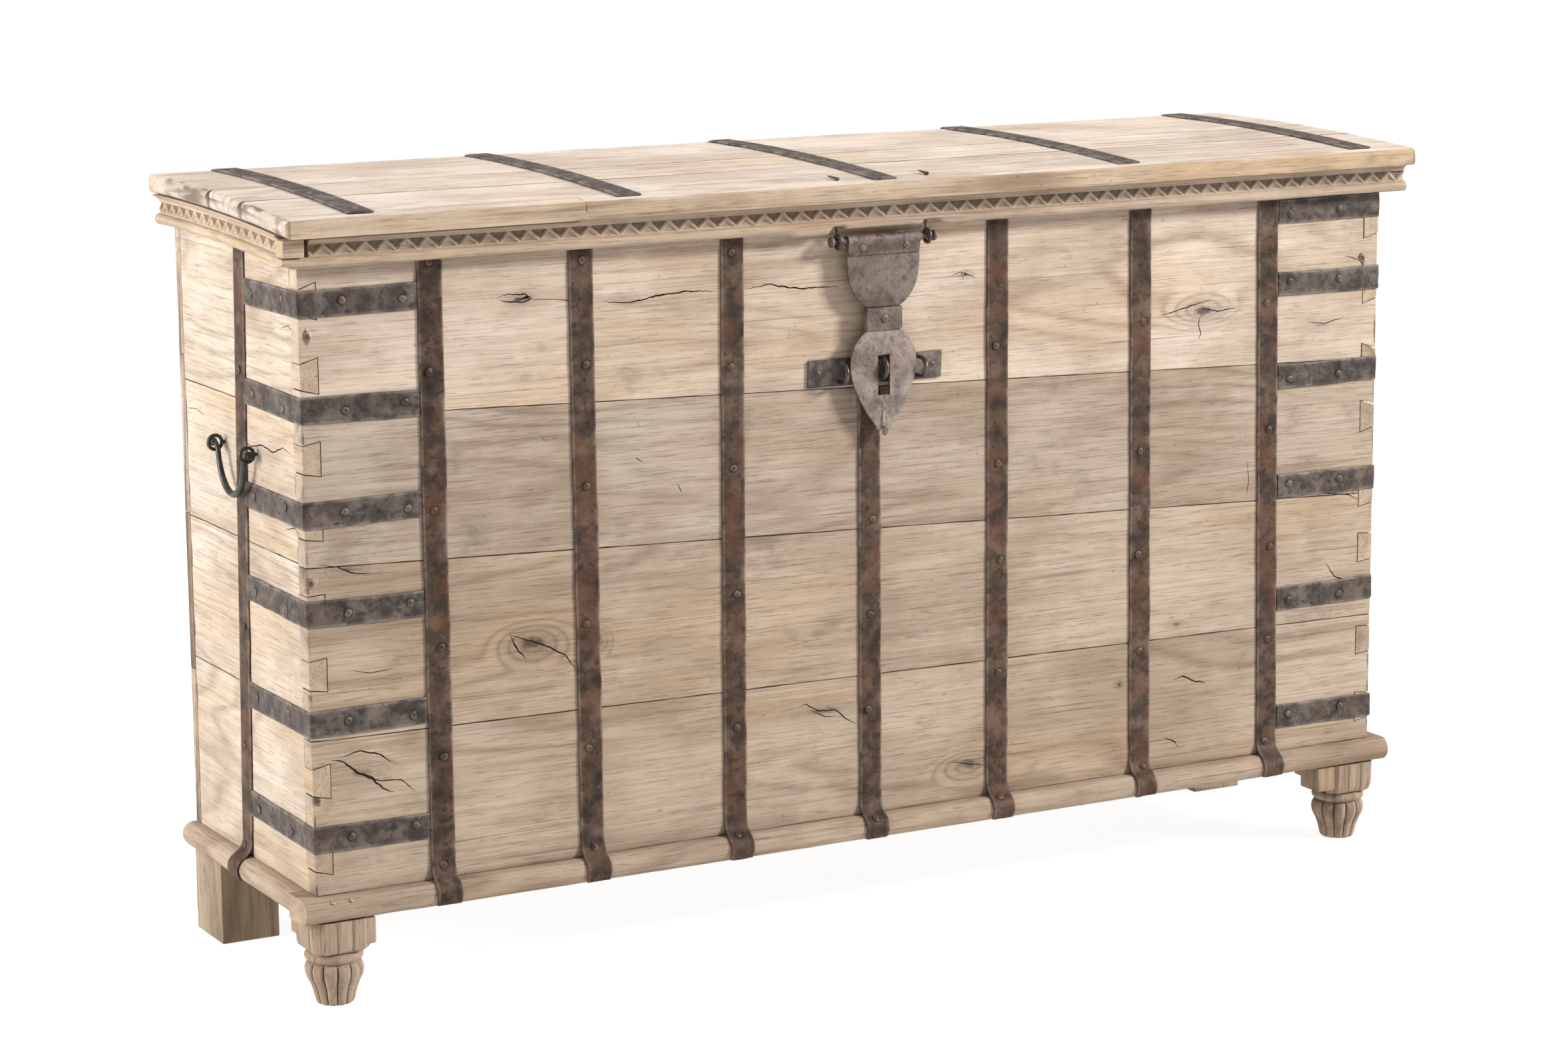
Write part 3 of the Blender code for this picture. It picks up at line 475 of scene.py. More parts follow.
def wood(name, seed, axis="X", tint=(1, 1, 1), stain=0.35, knots=(), grain=1.0):
    """One board's finish. knots are (centre on the front, half size, darkness)."""
    made, tree, shader = new_material(name)
    place = put(tree, "TexCoord").outputs["Object"]
    split = put(tree, "SeparateXYZ", {0: place}).outputs
    turned = put(tree, "CombineXYZ", {i: split[letter] for i, letter in enumerate(GRAIN_ORDER[axis])}).outputs[0]
    where = vector_calc(tree, "ADD", turned, (seed * 1.37, seed * 0.71, seed * 0.53))
    figure, mark = 0.0, 0.0
    ragged = noise(tree, place, 95.0, 3.0, 0.7)
    for centre, size, dark in knots:
        away = face_distance(tree, place, centre, size)
        figure = calc(tree, "ADD", figure, ramp(tree, away, 0.0, 3.2, 0.26, 0.0))
        uneven = calc(tree, "ADD", away, times(tree, ragged, 1.1))
        mark = calc(tree, "MAXIMUM", mark, ramp(tree, uneven, 0.75, 1.55, min(1.0, 1.5 * dark), 0.0))
        mark = calc(tree, "MAXIMUM", mark, ramp(tree, uneven, 1.0, 3.6, 0.40 * dark + 0.06, 0.0))
    group = tree.nodes.new("ShaderNodeGroup")
    group.node_tree = WOOD
    for key, value in (("Vector", where), ("Figure", figure), ("Mark", mark)):
        if isinstance(value, bpy.types.NodeSocket):
            tree.links.new(value, group.inputs[key])
    group.inputs["Stain"].default_value = stain
    group.inputs["Tint"].default_value = (*tint, 1)
    group.inputs["Grain"].default_value = grain
    worn = put(tree, "Attribute", attribute_name="wear").outputs["Fac"]
    rubbed = mixed(tree, ramp(tree, worn, 0.0, 1.0, 0.0, 0.35), group.outputs["Color"], (0.56, 0.47, 0.37, 1))
    # negative wear darkens the wood: dirt in seams, cracks and worn ends, and painted shade in the frieze's
    # recesses and under the lid's nosing
    dirt_and_painted_shade = mixed(tree, ramp(tree, worn, -1.0, 0.0, 0.85, 0.0), rubbed, (0.075, 0.052, 0.038, 1))
    tree.links.new(dirt_and_painted_shade, shader.inputs["Base Color"])
    bump = put(tree, "Bump", {"Strength": 0.65, "Distance": 0.0013, "Height": group.outputs["Height"]})
    tree.links.new(bump.outputs[0], shader.inputs["Normal"])
    shader.inputs["Roughness"].default_value = 0.82
    shader.inputs["Specular IOR Level"].default_value = 0.22
    return made


def iron(name, dark, light, rust, pits=1.0, roughness=0.5, metal=0.5, edge=(0.19, 0.155, 0.13), rusty=0.5,
         pit_scale=420.0, shine=0.5):
    """Forged iron: mottled, rusty in places, dark in its hollows, with worn edges painted bright, which also paint
    in the highlight along them.
    """
    made, tree, shader = new_material(name)
    place = put(tree, "TexCoord").outputs["Object"]
    mottle, spots = noise(tree, place, 48.0, 4.0, 0.62), noise(tree, place, 19.0, 3.0, 0.55)
    pitting, dents = noise(tree, place, pit_scale, 2.0, 0.6), noise(tree, place, 105.0, 2.0, 0.5)
    colour = mixed(tree, ramp(tree, mottle, 0.35, 0.68), shade(dark), shade(light))
    colour = mixed(tree, ramp(tree, dents, 0.54, 0.66, 0.0, 0.65), colour, shade(dark, 0.45))
    colour = mixed(tree, ramp(tree, spots, 0.52, 0.68, 0.0, rusty), colour, shade(rust))
    colour = mixed(tree, ramp(tree, pitting, 0.50, 0.70, 0.0, 0.35 * pits), colour, shade(dark, 0.5))
    worn = put(tree, "Attribute", attribute_name="wear").outputs["Fac"]
    # high wear lightens toward the edge colour: worn edges and a painted highlight
    rubbed = times(tree, worn, ramp(tree, mottle, 0.38, 0.6, 0.25, 0.9))
    hollow = mixed(tree, ramp(tree, worn, -1.0, 0.0, 0.75, 0.0), colour, shade(dark, 0.4))
    tree.links.new(mixed(tree, rubbed, hollow, (*edge, 1)), shader.inputs["Base Color"])
    bump = put(tree, "Bump", {"Strength": 0.5 * pits, "Distance": 0.0008, "Height": pitting})
    dented = put(tree, "Bump", {"Strength": 0.5, "Distance": 0.003, "Height": mottle, "Normal": bump.outputs[0]})
    tree.links.new(dented.outputs[0], shader.inputs["Normal"])
    tree.links.new(ramp(tree, mottle, 0.3, 0.7, roughness - 0.08, roughness + 0.12), shader.inputs["Roughness"])
    shader.inputs["Metallic"].default_value = metal
    shader.inputs["Specular IOR Level"].default_value = shine
    return made


STRAP = iron("strap_iron_look", (0.031, 0.018, 0.011), (0.100, 0.057, 0.034), (0.115, 0.043, 0.022), roughness=0.6,
             metal=0.2, edge=(0.20, 0.145, 0.11), shine=0.25)
BAND = iron("band_iron_look", (0.035, 0.026, 0.021), (0.122, 0.093, 0.075), (0.095, 0.055, 0.038), roughness=0.56,
            metal=0.25, edge=(0.20, 0.165, 0.14), shine=0.3)
HASP_IRON = iron("hasp_iron_look", (0.074, 0.051, 0.039), (0.150, 0.110, 0.085), (0.120, 0.062, 0.042), pits=1.6,
                 roughness=0.62, metal=0.4, edge=(0.26, 0.22, 0.19), rusty=0.35, pit_scale=230.0)
LEAF_IRON = iron("hasp_leaf_look", (0.130, 0.098, 0.078), (0.260, 0.205, 0.168), (0.165, 0.095, 0.070), pits=1.6,
                 roughness=0.62, metal=0.4, edge=(0.38, 0.33, 0.29), rusty=0.30, pit_scale=230.0)
PLATE_IRON = iron("staple_plate_look", (0.036, 0.025, 0.020), (0.120, 0.088, 0.070), (0.100, 0.055, 0.038),
                  metal=0.4)
LOOP_IRON = iron("dark_iron_look", (0.030, 0.025, 0.023), (0.075, 0.064, 0.058), (0.07, 0.045, 0.035), pits=0.4,
                 roughness=0.36, metal=0.6)
HANDLE_IRON = iron("handle_iron_look", (0.018, 0.020, 0.017), (0.048, 0.052, 0.045), (0.05, 0.045, 0.035),
                   pits=0.25, roughness=0.34, metal=0.6, edge=(0.085, 0.09, 0.08), rusty=0.2)
CRACK = wood("crack_wood", 7.7, tint=(0.22, 0.19, 0.17))
PALE = (1.13, 1.17, 1.20)

# ---------------------------------------------------------------- boards

FRONT_KNOTS = (  # centre as (x, height over the base), half size, darkness
    ((-0.478, 0.674), (0.010, 0.0045), 0.85), ((0.478, 0.592), (0.024, 0.010), 0.60),
    ((-0.545, 0.411), (0.014, 0.009), 0.20), ((-0.470, 0.268), (0.022, 0.012), 0.60),
    ((-0.387, 0.263), (0.010, 0.009), 0.35), ((-0.080, 0.138), (0.036, 0.008), 0.40),
    ((0.128, 0.044), (0.022, 0.010), 0.50), ((0.354, 0.119), (0.004, 0.003), 0.9),
    ((0.440, 0.188), (0.011, 0.004), 0.45), ((0.123, 0.662), (0.006, 0.003), 0.8),
    ((-0.700, 0.380), (0.012, 0.004), 0.45), ((-0.690, 0.140), (0.020, 0.009), 0.35),
    ((0.690, 0.335), (0.012, 0.006), 0.35), ((0.662, 0.560), (0.016, 0.004), 0.30),
)
FRONT_CRACKS = (  # corner points over the base, and the widest opening
    (((-0.505, 0.678), (-0.492, 0.681), (-0.470, 0.6795), (-0.462, 0.675), (-0.470, 0.6705), (-0.494, 0.672),
      (-0.505, 0.6775)), 0.0020),
    (((-0.476, 0.676), (-0.465, 0.6745)), 0.0050),
    (((-0.470, 0.674), (-0.425, 0.670), (-0.380, 0.664)), 0.0011),
    (((-0.370, 0.664), (-0.335, 0.660), (-0.308, 0.665), (-0.262, 0.668), (-0.221, 0.666)), 0.0022),
    (((-0.184, 0.665), (-0.150, 0.669), (-0.110, 0.661), (-0.055, 0.660)), 0.0022),
    (((0.104, 0.663), (0.117, 0.666), (0.127, 0.662), (0.139, 0.657)), 0.0014),
    (((0.117, 0.666), (0.121, 0.656)), 0.0012),
    (((0.409, 0.590), (0.432, 0.594), (0.460, 0.600), (0.490, 0.606)), 0.0020),
    (((0.470, 0.596), (0.500, 0.590), (0.528, 0.592)), 0.0018),
    (((0.473, 0.586), (0.470, 0.575), (0.474, 0.562), (0.469, 0.556)), 0.0020),
    (((0.549, 0.392), (0.551, 0.365), (0.548, 0.345)), 0.0012),
    (((-0.498, 0.281), (-0.476, 0.272), (-0.450, 0.262), (-0.428, 0.249), (-0.412, 0.228)), 0.0026),
    (((-0.498, 0.281), (-0.489, 0.262), (-0.478, 0.250)), 0.0024),
    (((-0.116, 0.146), (-0.104, 0.150), (-0.086, 0.138), (-0.062, 0.138), (-0.050, 0.126),
      (-0.030, 0.114)), 0.0020),
    (((-0.100, 0.143), (-0.078, 0.131), (-0.060, 0.129)), 0.0013),
    (((0.438, 0.115), (0.452, 0.119), (0.470, 0.110), (0.488, 0.106)), 0.0024),
    (((0.105, 0.050), (0.128, 0.044), (0.152, 0.040)), 0.0016),
    (((0.424, 0.040), (0.440, 0.034), (0.446, 0.026)), 0.0018),
    (((-0.726, 0.160), (-0.708, 0.154), (-0.694, 0.140), (-0.676, 0.132), (-0.664, 0.118),
      (-0.650, 0.112)), 0.0036),
    (((-0.712, 0.162), (-0.690, 0.166), (-0.668, 0.160), (-0.648, 0.146)), 0.0022),
    (((-0.690, 0.136), (-0.668, 0.128), (-0.640, 0.126), (-0.622, 0.109)), 0.0018),
    (((-0.735, 0.389), (-0.712, 0.384), (-0.690, 0.374), (-0.668, 0.372)), 0.0018),
    (((-0.700, 0.262), (-0.672, 0.256), (-0.645, 0.259)), 0.0012),
    (((-0.331, 0.476), (-0.322, 0.470)), 0.0014), (((-0.276, 0.440), (-0.270, 0.428)), 0.0013),
    (((0.640, 0.566), (0.668, 0.562), (0.700, 0.568)), 0.0016),
    (((0.655, 0.342), (0.684, 0.336), (0.712, 0.332), (0.730, 0.322)), 0.0018),
    (((0.700, 0.648), (0.722, 0.640)), 0.0014), (((0.676, 0.245), (0.690, 0.226), (0.712, 0.216)), 0.0020),
)
PEGS = ((-0.740, 0.650), (-0.7445, 0.368), (-0.745, 0.114), (0.7257, 0.6436))  # dark peg heads in the front
LEFT_CRACKS = (  # (y, height over the base)
    (((-0.150, 0.512), (-0.120, 0.516), (-0.090, 0.506), (-0.055, 0.510), (-0.020, 0.503),
      (0.010, 0.507)), 0.0022),
    (((-0.170, 0.420), (-0.150, 0.428), (-0.120, 0.421)), 0.0015),
    (((-0.172, 0.650), (-0.150, 0.660), (-0.128, 0.655)), 0.0014),
    (((0.190, 0.520), (0.160, 0.523), (0.132, 0.519)), 0.0012),
)
FRONT_TINTS = ((0.90, 0.88, 0.84), (0.91, 0.89, 0.86), (0.88, 0.87, 0.86), (1.22, 1.23, 1.25))


def crack_prism(shape, corners, opening, place, depth, seed):
    """A jagged lens-shaped slot along a line of corner points, cut from outside to depth."""
    corners = np.asarray(corners, float)
    line = resample(np.column_stack([corners, np.zeros(len(corners))]), 0.0025)[:, :2]
    count = len(line)
    share = np.linspace(0, 1, count)
    body = np.sin(np.pi * np.clip(share, 0.03, 0.97)) ** 0.6
    jag = 0.35 * opening * wander(share * count, 1.7, seed)
    half = 0.8 * opening * body * (0.7 + 0.5 * abs(wander(share * count, 2.6, seed + 5)))
    ahead = np.gradient(line, axis=0)
    ahead /= np.linalg.norm(ahead, axis=1)[:, None] + 1e-9
    aside = np.column_stack([-ahead[:, 1], ahead[:, 0]])
    middle = line + jag[:, None] * aside
    rows = []
    for edge, reach in ((-1, 0.003), (1, 0.003), (0.25, -depth), (-0.25, -depth)):
        spot = middle + (edge * half)[:, None] * aside
        rows.append(np.column_stack(place(spot[:, 0], BODY_Z + spot[:, 1], np.full(count, reach))))
    shape.loft(np.stack(rows, axis=1))


def cutter_object(name, shape):
    """What a board's cracks and joints are cut with."""
    mesh = bpy.data.meshes.new(name)
    mesh.from_pydata(shape.points, [], shape.faces)
    for _ in range(2):
        mesh.materials.append(CRACK)
    mesh.polygons.foreach_set("material_index", [1] * len(shape.faces))  # the second slot of what it cuts
    obj = bpy.data.objects.new(name, mesh)
    bpy.context.scene.collection.objects.link(obj)
    tidy_mesh(mesh, 30)
    return obj


def in_board(index, x, height):
    """Whether a place over the base lies on that board of the front."""
    x = x * np.ones(1)
    return seam_height(index - 1, x)[0] < height < seam_height(index, x)[0]


def seam_height(seam, x):
    """Height of a front seam over the base at x; the first and last are the front's lower and upper edge."""
    if seam < 0:
        return np.full_like(x, GAP)
    if seam == len(FRONT_SEAMS):
        return np.full_like(x, lid_under(FRONT) - BODY_Z - 2 * GAP)
    middle, slope = FRONT_SEAMS[seam]
    return middle + slope * x


def lid_under(y):
    return CREST_Z - LID_THICK - CAMBER * (y - CREST_Y) ** 2


def on_front(u, v, w):
    """Points of the front, w outward from its outer face."""
    return u, FRONT - w, v


def on_end(side):
    return lambda u, v, w: (side * (END + w), u, v)


def pin_sections(side, height, grow, y0, y1, seed):
    """A dovetail pin, narrow at the outer end, from y0 to y1; each is a little different."""
    inner, outer = END - BOARD_THICK - grow, END + grow
    uneven = 0.0012 * math.sin(7 * seed)
    low, high = 0.015 + grow + uneven, 0.020 + grow - uneven
    z = BODY_Z + height
    rows = []
    for y in (y0, y1):
        rows.append([(side * inner, y, z - high), (side * outer, y, z - low),
                     (side * outer, y, z + low + uneven), (side * inner, y, z + high)])
    return rows


def make_front():
    """Four boards, with sockets for the ends' dovetail pins, cracks and dark pegs."""
    cuts = Shape()
    past = 0.005
    for side in (-1, 1):
        for number, height in enumerate(PIN_HEIGHTS):
            cuts.loft(pin_sections(side, height, 0.0010, FRONT - past, FRONT + BOARD_THICK + past, number + side))
    for number, (corners, opening) in enumerate(FRONT_CRACKS):
        crack_prism(cuts, corners, opening, on_front, 0.0035, number + 1)
    cutter = cutter_object("front_cuts", cuts)
    along = spaced(-END, END, 0.006)
    for index, tint in enumerate(FRONT_TINTS):
        low, high = BODY_Z + seam_height(index - 1, along), BODY_Z + seam_height(index, along)
        knots = [knot for knot in FRONT_KNOTS if in_board(index, *knot[0])]
        finish = wood(f"front_wood_{index + 1}", 2.1 + 1.7 * index, tint=tint, stain=0.5, knots=knots)
        shape = plank(Shape(), lambda u, v, w: on_front(u, v, w - BOARD_THICK), along, low, high, BOARD_THICK,
                      index + 1.0)
        for x, height in PEGS:
            if in_board(index, x, height):
                shape.dome((x, FRONT + 0.0006, BODY_Z + height), (0, -1, 0), 0.0052, 0.0010, height, slot=1)
        node = f"front_board_{index + 1}"
        shape.make(f"{node}_worn", "chest", [node], [finish, CRACK], "bleached_wood", cutter)
    bpy.data.objects.remove(cutter)


def make_end(name, side, seams, cracks=()):
    """End boards with their dovetail pins, which show their end grain in the front."""
    cuts = Shape()
    for number, (corners, opening) in enumerate(cracks):
        crack_prism(cuts, corners, opening, on_end(side), 0.0035, number + 31)
    cutter = cutter_object(f"{name}_cuts", cuts) if cracks else None
    y0, y1 = FRONT + BOARD_THICK + GAP, BACK - BACK_THICK - GAP
    along = spaced(y0, y1, 0.006)
    edges = [GAP, *seams, None]
    pin_finish = wood(f"{name}_pin_wood", 17.0 + side, "Y", tint=(0.98, 0.95, 0.90), stain=0.6, grain=1.3)
    for index, (low, high) in enumerate(zip(edges, edges[1:])):
        finish = wood(f"{name}_end_wood_{index + 1}", 11.3 + 2.3 * index + side, "Y", tint=PALE, stain=0.22,
                      grain=0.8)
        top = lid_under(along) - 2 * GAP if high is None else BODY_Z + high
        outer = on_end(side)
        shape = plank(Shape(), lambda u, v, w: outer(u, v, w - BOARD_THICK), along, BODY_Z + low, top, BOARD_THICK,
                      20.0 + index + side)
        for number, height in enumerate(PIN_HEIGHTS):
            if low < height and (high is None or height < high):
                proud = 0.0004 * math.sin(9 * number + side)
                shape.loft(pin_sections(side, height, -0.0002, FRONT - proud, y0 + 0.004, number + side), slot=2)
        node = f"{name}_end_board_{index + 1}"
        shape.make(f"{node}_worn", "chest", [node], [finish, CRACK, pin_finish], "pale_wood", cutter)
    if cutter:
        bpy.data.objects.remove(cutter)


def make_back_and_base():
    top = lid_under(BACK) - 2 * GAP
    along = spaced(-END, END, 0.010)
    shape = Shape()
    heights = np.linspace(BODY_Z + GAP, top, 5)
    for index, (low, high) in enumerate(zip(heights, heights[1:])):
        plank(shape, lambda u, v, w: (u, BACK - BACK_THICK + w, v), along, low, high, BACK_THICK, 40.0 + index,
              rows=14)
    shape.make("back_boards", "chest", ["back_panel"], [wood("back_wood", 31.0, stain=0.5)], "bleached_wood")

    tint = (0.90, 0.86, 0.82)
    finish = wood("base_wood", 37.0, tint=tint, stain=0.45)
    finish_side = wood("base_side_wood", 39.0, "Y", tint=tint, stain=0.45)
    shape = Shape()
    inner = 0.055  # width of the board that carries the rounded edge
    along = spaced(-BASE_END, BASE_END, 0.006)
    shape.loft(half_round(along, lambda a, o, z: (a, BASE_FRONT + inner - o, z), inner, 50.0))
    for side in (-1, 1):
        along = spaced(BASE_FRONT + inner + 0.0008, BACK, 0.006)
        rows = half_round(along, lambda a, o, z, s=side: (s * (BASE_END - inner + o), a, z), inner, 52.0 + side)
        shape.loft(rows, slot=1)
    floor = spaced(-BASE_END + inner + 0.0005, BASE_END - inner - 0.0005, 0.02)
    plank(shape, lambda u, v, w: (u, v, LEG_HEIGHT + w), floor, BASE_FRONT + inner + 0.0008, BACK,
          BODY_Z - LEG_HEIGHT, 55.0, rows=10)
    for number, x in enumerate((-0.735, -0.712)):
        shape.dome((x, BASE_FRONT + 0.004, BODY_Z - 0.0045), (0, -0.7, 0.7), 0.0028, 0.0006, number)
    shape.make("base_worn", "chest", ["base_panel"], [finish, finish_side], "bleached_wood")


def half_round(along, place, inner, seed):
    """A board whose outer edge is a worn half round: rows of loops, with o outward from its inner edge."""
    thick = BODY_Z - LEG_HEIGHT
    turn = np.radians(np.linspace(90, -90, 13))
    radius = thick / 2
    sag = 0.0010 * wander(along, 0.11, seed) + 0.0005 * wander(along, 0.03, seed + 1)
    out = np.concatenate([[0], np.linspace(inner * 0.4, inner - radius, 3)[:-1],
                          inner - radius + radius * np.cos(turn), [0]])
    rise = np.concatenate([[thick] * 3, radius + radius * np.sin(turn), [0]])
    a = np.broadcast_to(along[:, None], (len(along), len(out)))
    lower = (rise < radius)
    z = LEG_HEIGHT + rise + np.where(lower, abs(sag)[:, None], 0)
    o = out - np.where(out > inner - radius / 2, 0.0006 + abs(sag)[:, None], 0)
    spot = np.stack([a, o, z], axis=-1)
    o = o - np.where(out > 0.03, 0.0004 * (1 + lumps(spot, (0.04, 0.01, 0.006), seed)), 0)
    return np.stack(place(a, o, z), axis=-1)


# ---------------------------------------------------------------- lid


def lid_place(u, v, w):
    """Points of a lid board, w upward from its underside."""
    return u, v, lid_under(v) + w


LID_CRACKS = (  # (x, y) on the lid's top
    (((-0.776, -0.048), (-0.755, -0.050), (-0.738, -0.046)), 0.0030),
    (((-0.777, 0.190), (-0.760, 0.192), (-0.735, 0.189), (-0.700, 0.191)), 0.0028),
    (((-0.640, 0.060), (-0.560, 0.062), (-0.470, 0.059)), 0.0014),
    (((0.10, -0.148), (0.20, -0.150), (0.31, -0.147)), 0.0014),
    (((-0.30, -0.160), (-0.18, -0.163), (-0.05, -0.160)), 0.0014),
    (((0.45, -0.185), (0.56, -0.188), (0.70, -0.184)), 0.0018),
    (((0.05, -0.205), (0.14, -0.208), (0.26, -0.204)), 0.0018),
    (((0.52, 0.080), (0.62, 0.078), (0.72, 0.081)), 0.0016),
    (((-0.12, 0.100), (0.02, 0.103), (0.14, 0.099)), 0.0012),
)
STRIP_WIDE = 0.026  # the lid's square front strip, as its seam on the top shows


def on_lid(u, v, w):
    """Points of the lid's top, with v the distance from front to rear."""
    return u, v - BODY_Z, lid_under(v - BODY_Z) + LID_THICK + w


def make_lid_cutter():
    """The lid's cracks, and the slits behind and at the end of its square front strip."""
    cuts = Shape()
    for number, (corners, opening) in enumerate(LID_CRACKS):
        crack_prism(cuts, corners, opening, on_lid, 0.0045, number + 61)
    seam = LID_FRONT + STRIP_WIDE
    for x0, x1, y0, y1 in ((-LID_END - 0.01, STRIP_END_X, seam - 0.0005, seam + 0.0005),
                           (STRIP_END_X - SLIT, STRIP_END_X + SLIT, LID_FRONT - 0.01, seam + 0.0004)):
        top = lid_under(y0) + LID_THICK
        low, high = top - 0.012, top + 0.02
        cuts.loft([[(x, y0, low), (x, y1, low), (x, y1, high), (x, y0, high)] for x in (x0, x1)])
    return cutter_object("lid_cuts", cuts)


def make_lid_boards():
    cutter = make_lid_cutter()
    nosing = wood("nosing_wood", 83.0, tint=(1.00, 0.95, 0.86), stain=0.5, grain=1.4)
    edges = [LID_BACK, *LID_SEAMS, LID_FRONT]
    for index, (name, rear, front) in enumerate(zip(("rear", "middle", "front"), edges, edges[1:])):
        foremost, rearmost = name == "front", name == "rear"
        end = 0.0070
        along = np.unique(np.concatenate([spaced(-LID_END, LID_END, 0.006, end),
                                          [STRIP_END_X - SLIT, STRIP_END_X + SLIT]]))
        near_end = np.exp(-(LID_END - abs(along)) / 0.015)
        split = 0.0005 + 0.0022 * near_end * (1 + 0.5 * wander(along, 0.006, 60 + index))
        low = front + (0 if foremost else split) + 0 * along
        high = rear - (0 if rearmost else split) + 0 * along
        worn = None
        if foremost:
            square = smooth(along, STRIP_END_X - SLIT, STRIP_END_X + SLIT)
            worn = 0.0015 + square * (0.0055 + 0.0030 * wander(along, 0.09, 63) + 0.0015 * wander(along, 0.03, 64))
            low = low + square * (0.0006 + 0.0010 * abs(wander(along, 0.12, 65)))
        finish = wood(f"lid_wood_{name}", 71.0 + 3.1 * index, tint=(1.18, 1.25, 1.35), stain=0.3, grain=0.8)
        shape = plank(Shape(), lid_place, along, low, high, LID_THICK, 70.0 + index, rows=22, under_rows=6,
                      end_wear=end, front_wear=worn, nose_slot=2 if foremost else 0,
                      edge_wear=(0.0 if foremost else -1.0, 0.3 if rearmost else -1.0))
        node = f"lid_board_{name}"
        shape.make(f"{node}_worn", "lid", [node], [finish, CRACK, nosing], "bleached_wood", cutter)
    bpy.data.objects.remove(cutter)


FRIEZE_PITCH = 1.552 / 61
BAND_TOP, BAND_LOW = -0.0108, -0.0245  # under the lid's underside, like the other heights of the frieze
FRIEZE_INNER = 0.0045  # out from the chest's face
COVE_RADIUS, BEAD_RADIUS = 0.0085, 0.0065
BEAD_SWELLS = (  # how much higher, and where it begins and has ended its rise and fall along X
    (0.38, -0.150, -0.118, -0.082, -0.076), (-0.42, -0.080, -0.074, -0.060, -0.054),
    (-0.12, -0.058, -0.050, 0.030, 0.050), (-0.55, 0.046, 0.052, 0.066, 0.084),
)


def carving(along, height, seed):
    """Depth of the chip-carved triangles at points of the band, and their wear value: ridges polished, recesses
    darkened as painted shade; a ridge zigzags between its edges.
    """
    tooth = np.floor(along / FRIEZE_PITCH)
    shift = 0.05 * np.sin(tooth * 12.9 + seed)
    across = along / FRIEZE_PITCH - tooth - 0.5 + shift * (1 - abs(2 * (along / FRIEZE_PITCH - tooth) - 1))
    tall = (BAND_TOP - BAND_LOW) * (0.94 + 0.06 * np.sin(tooth * 5.3 + seed))
    up = (height - BAND_LOW) / tall
    half = FRIEZE_PITCH / 2
    slant = math.hypot(half, BAND_TOP - BAND_LOW)
    inside = (1 - up - 2 * abs(across)) * half * (BAND_TOP - BAND_LOW) / slant
    floor = (height - BAND_LOW) * 0.8
    raised = np.minimum(np.maximum(inside, 0), floor)
    lowered = np.maximum(-inside, 0)
    flat = 0.0004  # half the ridge's width
    depth = (np.minimum(1.15 * np.maximum(raised - flat, 0), 0.0030)
             + np.minimum(0.80 * np.maximum(lowered - flat, 0), 0.0036))
    # painted shade: the recesses are darkened, the downward triangles most; the ridges keep their polish at 0.8
    dark = 1.5 * smooth(lowered, 0.0, 0.0030) + 0.9 * smooth(raised, 0.0, 0.0030)
    return depth, 0.8 - dark


def frieze_upper(along, place, seed, top_drop):
    """The cove and the carved band, as rows of loops."""
    cove = [(0.0275 + COVE_RADIUS * math.cos(math.radians(t)), -0.0115 + COVE_RADIUS * math.sin(math.radians(t)))
            for t in (95, 115, 135, 155, 172)]
    heights = np.linspace(BAND_TOP, BAND_LOW, 13)
    out = np.array([FRIEZE_INNER, 0.0262, *[o for o, _ in cove], *([0.0190] * 13), FRIEZE_INNER])
    rise = np.array([0, 0, *[h for _, h in cove], *heights, BAND_LOW])
    a = np.broadcast_to(along[:, None], (len(along), len(out)))
    o, h = np.broadcast_to(out, a.shape).copy(), np.broadcast_to(rise, a.shape).copy()
    band = slice(7, 20)
    depth, ridge = carving(a[:, band], h[:, band], seed)
    o[:, band] -= depth
    wear = np.zeros_like(o)
    # the band's wear, carrying the painted shade of the carving's recesses
    wear[:, band] = ridge
    # painted shadow: the frieze's top, in the gap under the lid's nosing, is darkened; fully under the square
    # strip, where the gap is wide, lightly elsewhere
    wear[:, :4] = -np.where(top_drop > 0.002, 1.0, 0.3)[:, None]
    edge = slice(1, 7)
    chips = 0.0005 + 0.0006 * np.clip(wander(along, 0.06, seed), 0, 1) + 0.0002 * wander(along, 0.011, seed)
    o[:, edge] -= chips[:, None]
    h[:, :2] -= top_drop[:, None]
    return np.stack(place(a, o, h), axis=-1), wear


def frieze_bead(along, place, seed, scale):
    """The bead under the band; scale shrinks or swells its height along its length."""
    turn = np.radians(np.linspace(84, -88, 11))
    out = np.array([FRIEZE_INNER, 0.0150, *(0.0185 + BEAD_RADIUS * np.cos(turn)), FRIEZE_INNER])
    rise = np.array([BAND_LOW, BAND_LOW, *(-0.0305 + BEAD_RADIUS * np.sin(turn)), -0.037])
    a = np.broadcast_to(along[:, None], (len(along), len(out)))
    worn = 1 - 0.07 * np.clip(wander(along, 0.08, seed), 0, 1) - 0.03 * abs(wander(along, 0.015, seed + 1))
    h = BAND_LOW + (rise - BAND_LOW) * (scale * worn)[:, None]
    spot = np.stack([a, np.broadcast_to(out, a.shape), h], axis=-1)
    o = out - np.where(out > 0.01, 0.0003 + 0.0003 * lumps(spot, (0.03, 0.01, 0.006), seed), 0)
    return np.stack(place(a, o, h), axis=-1)


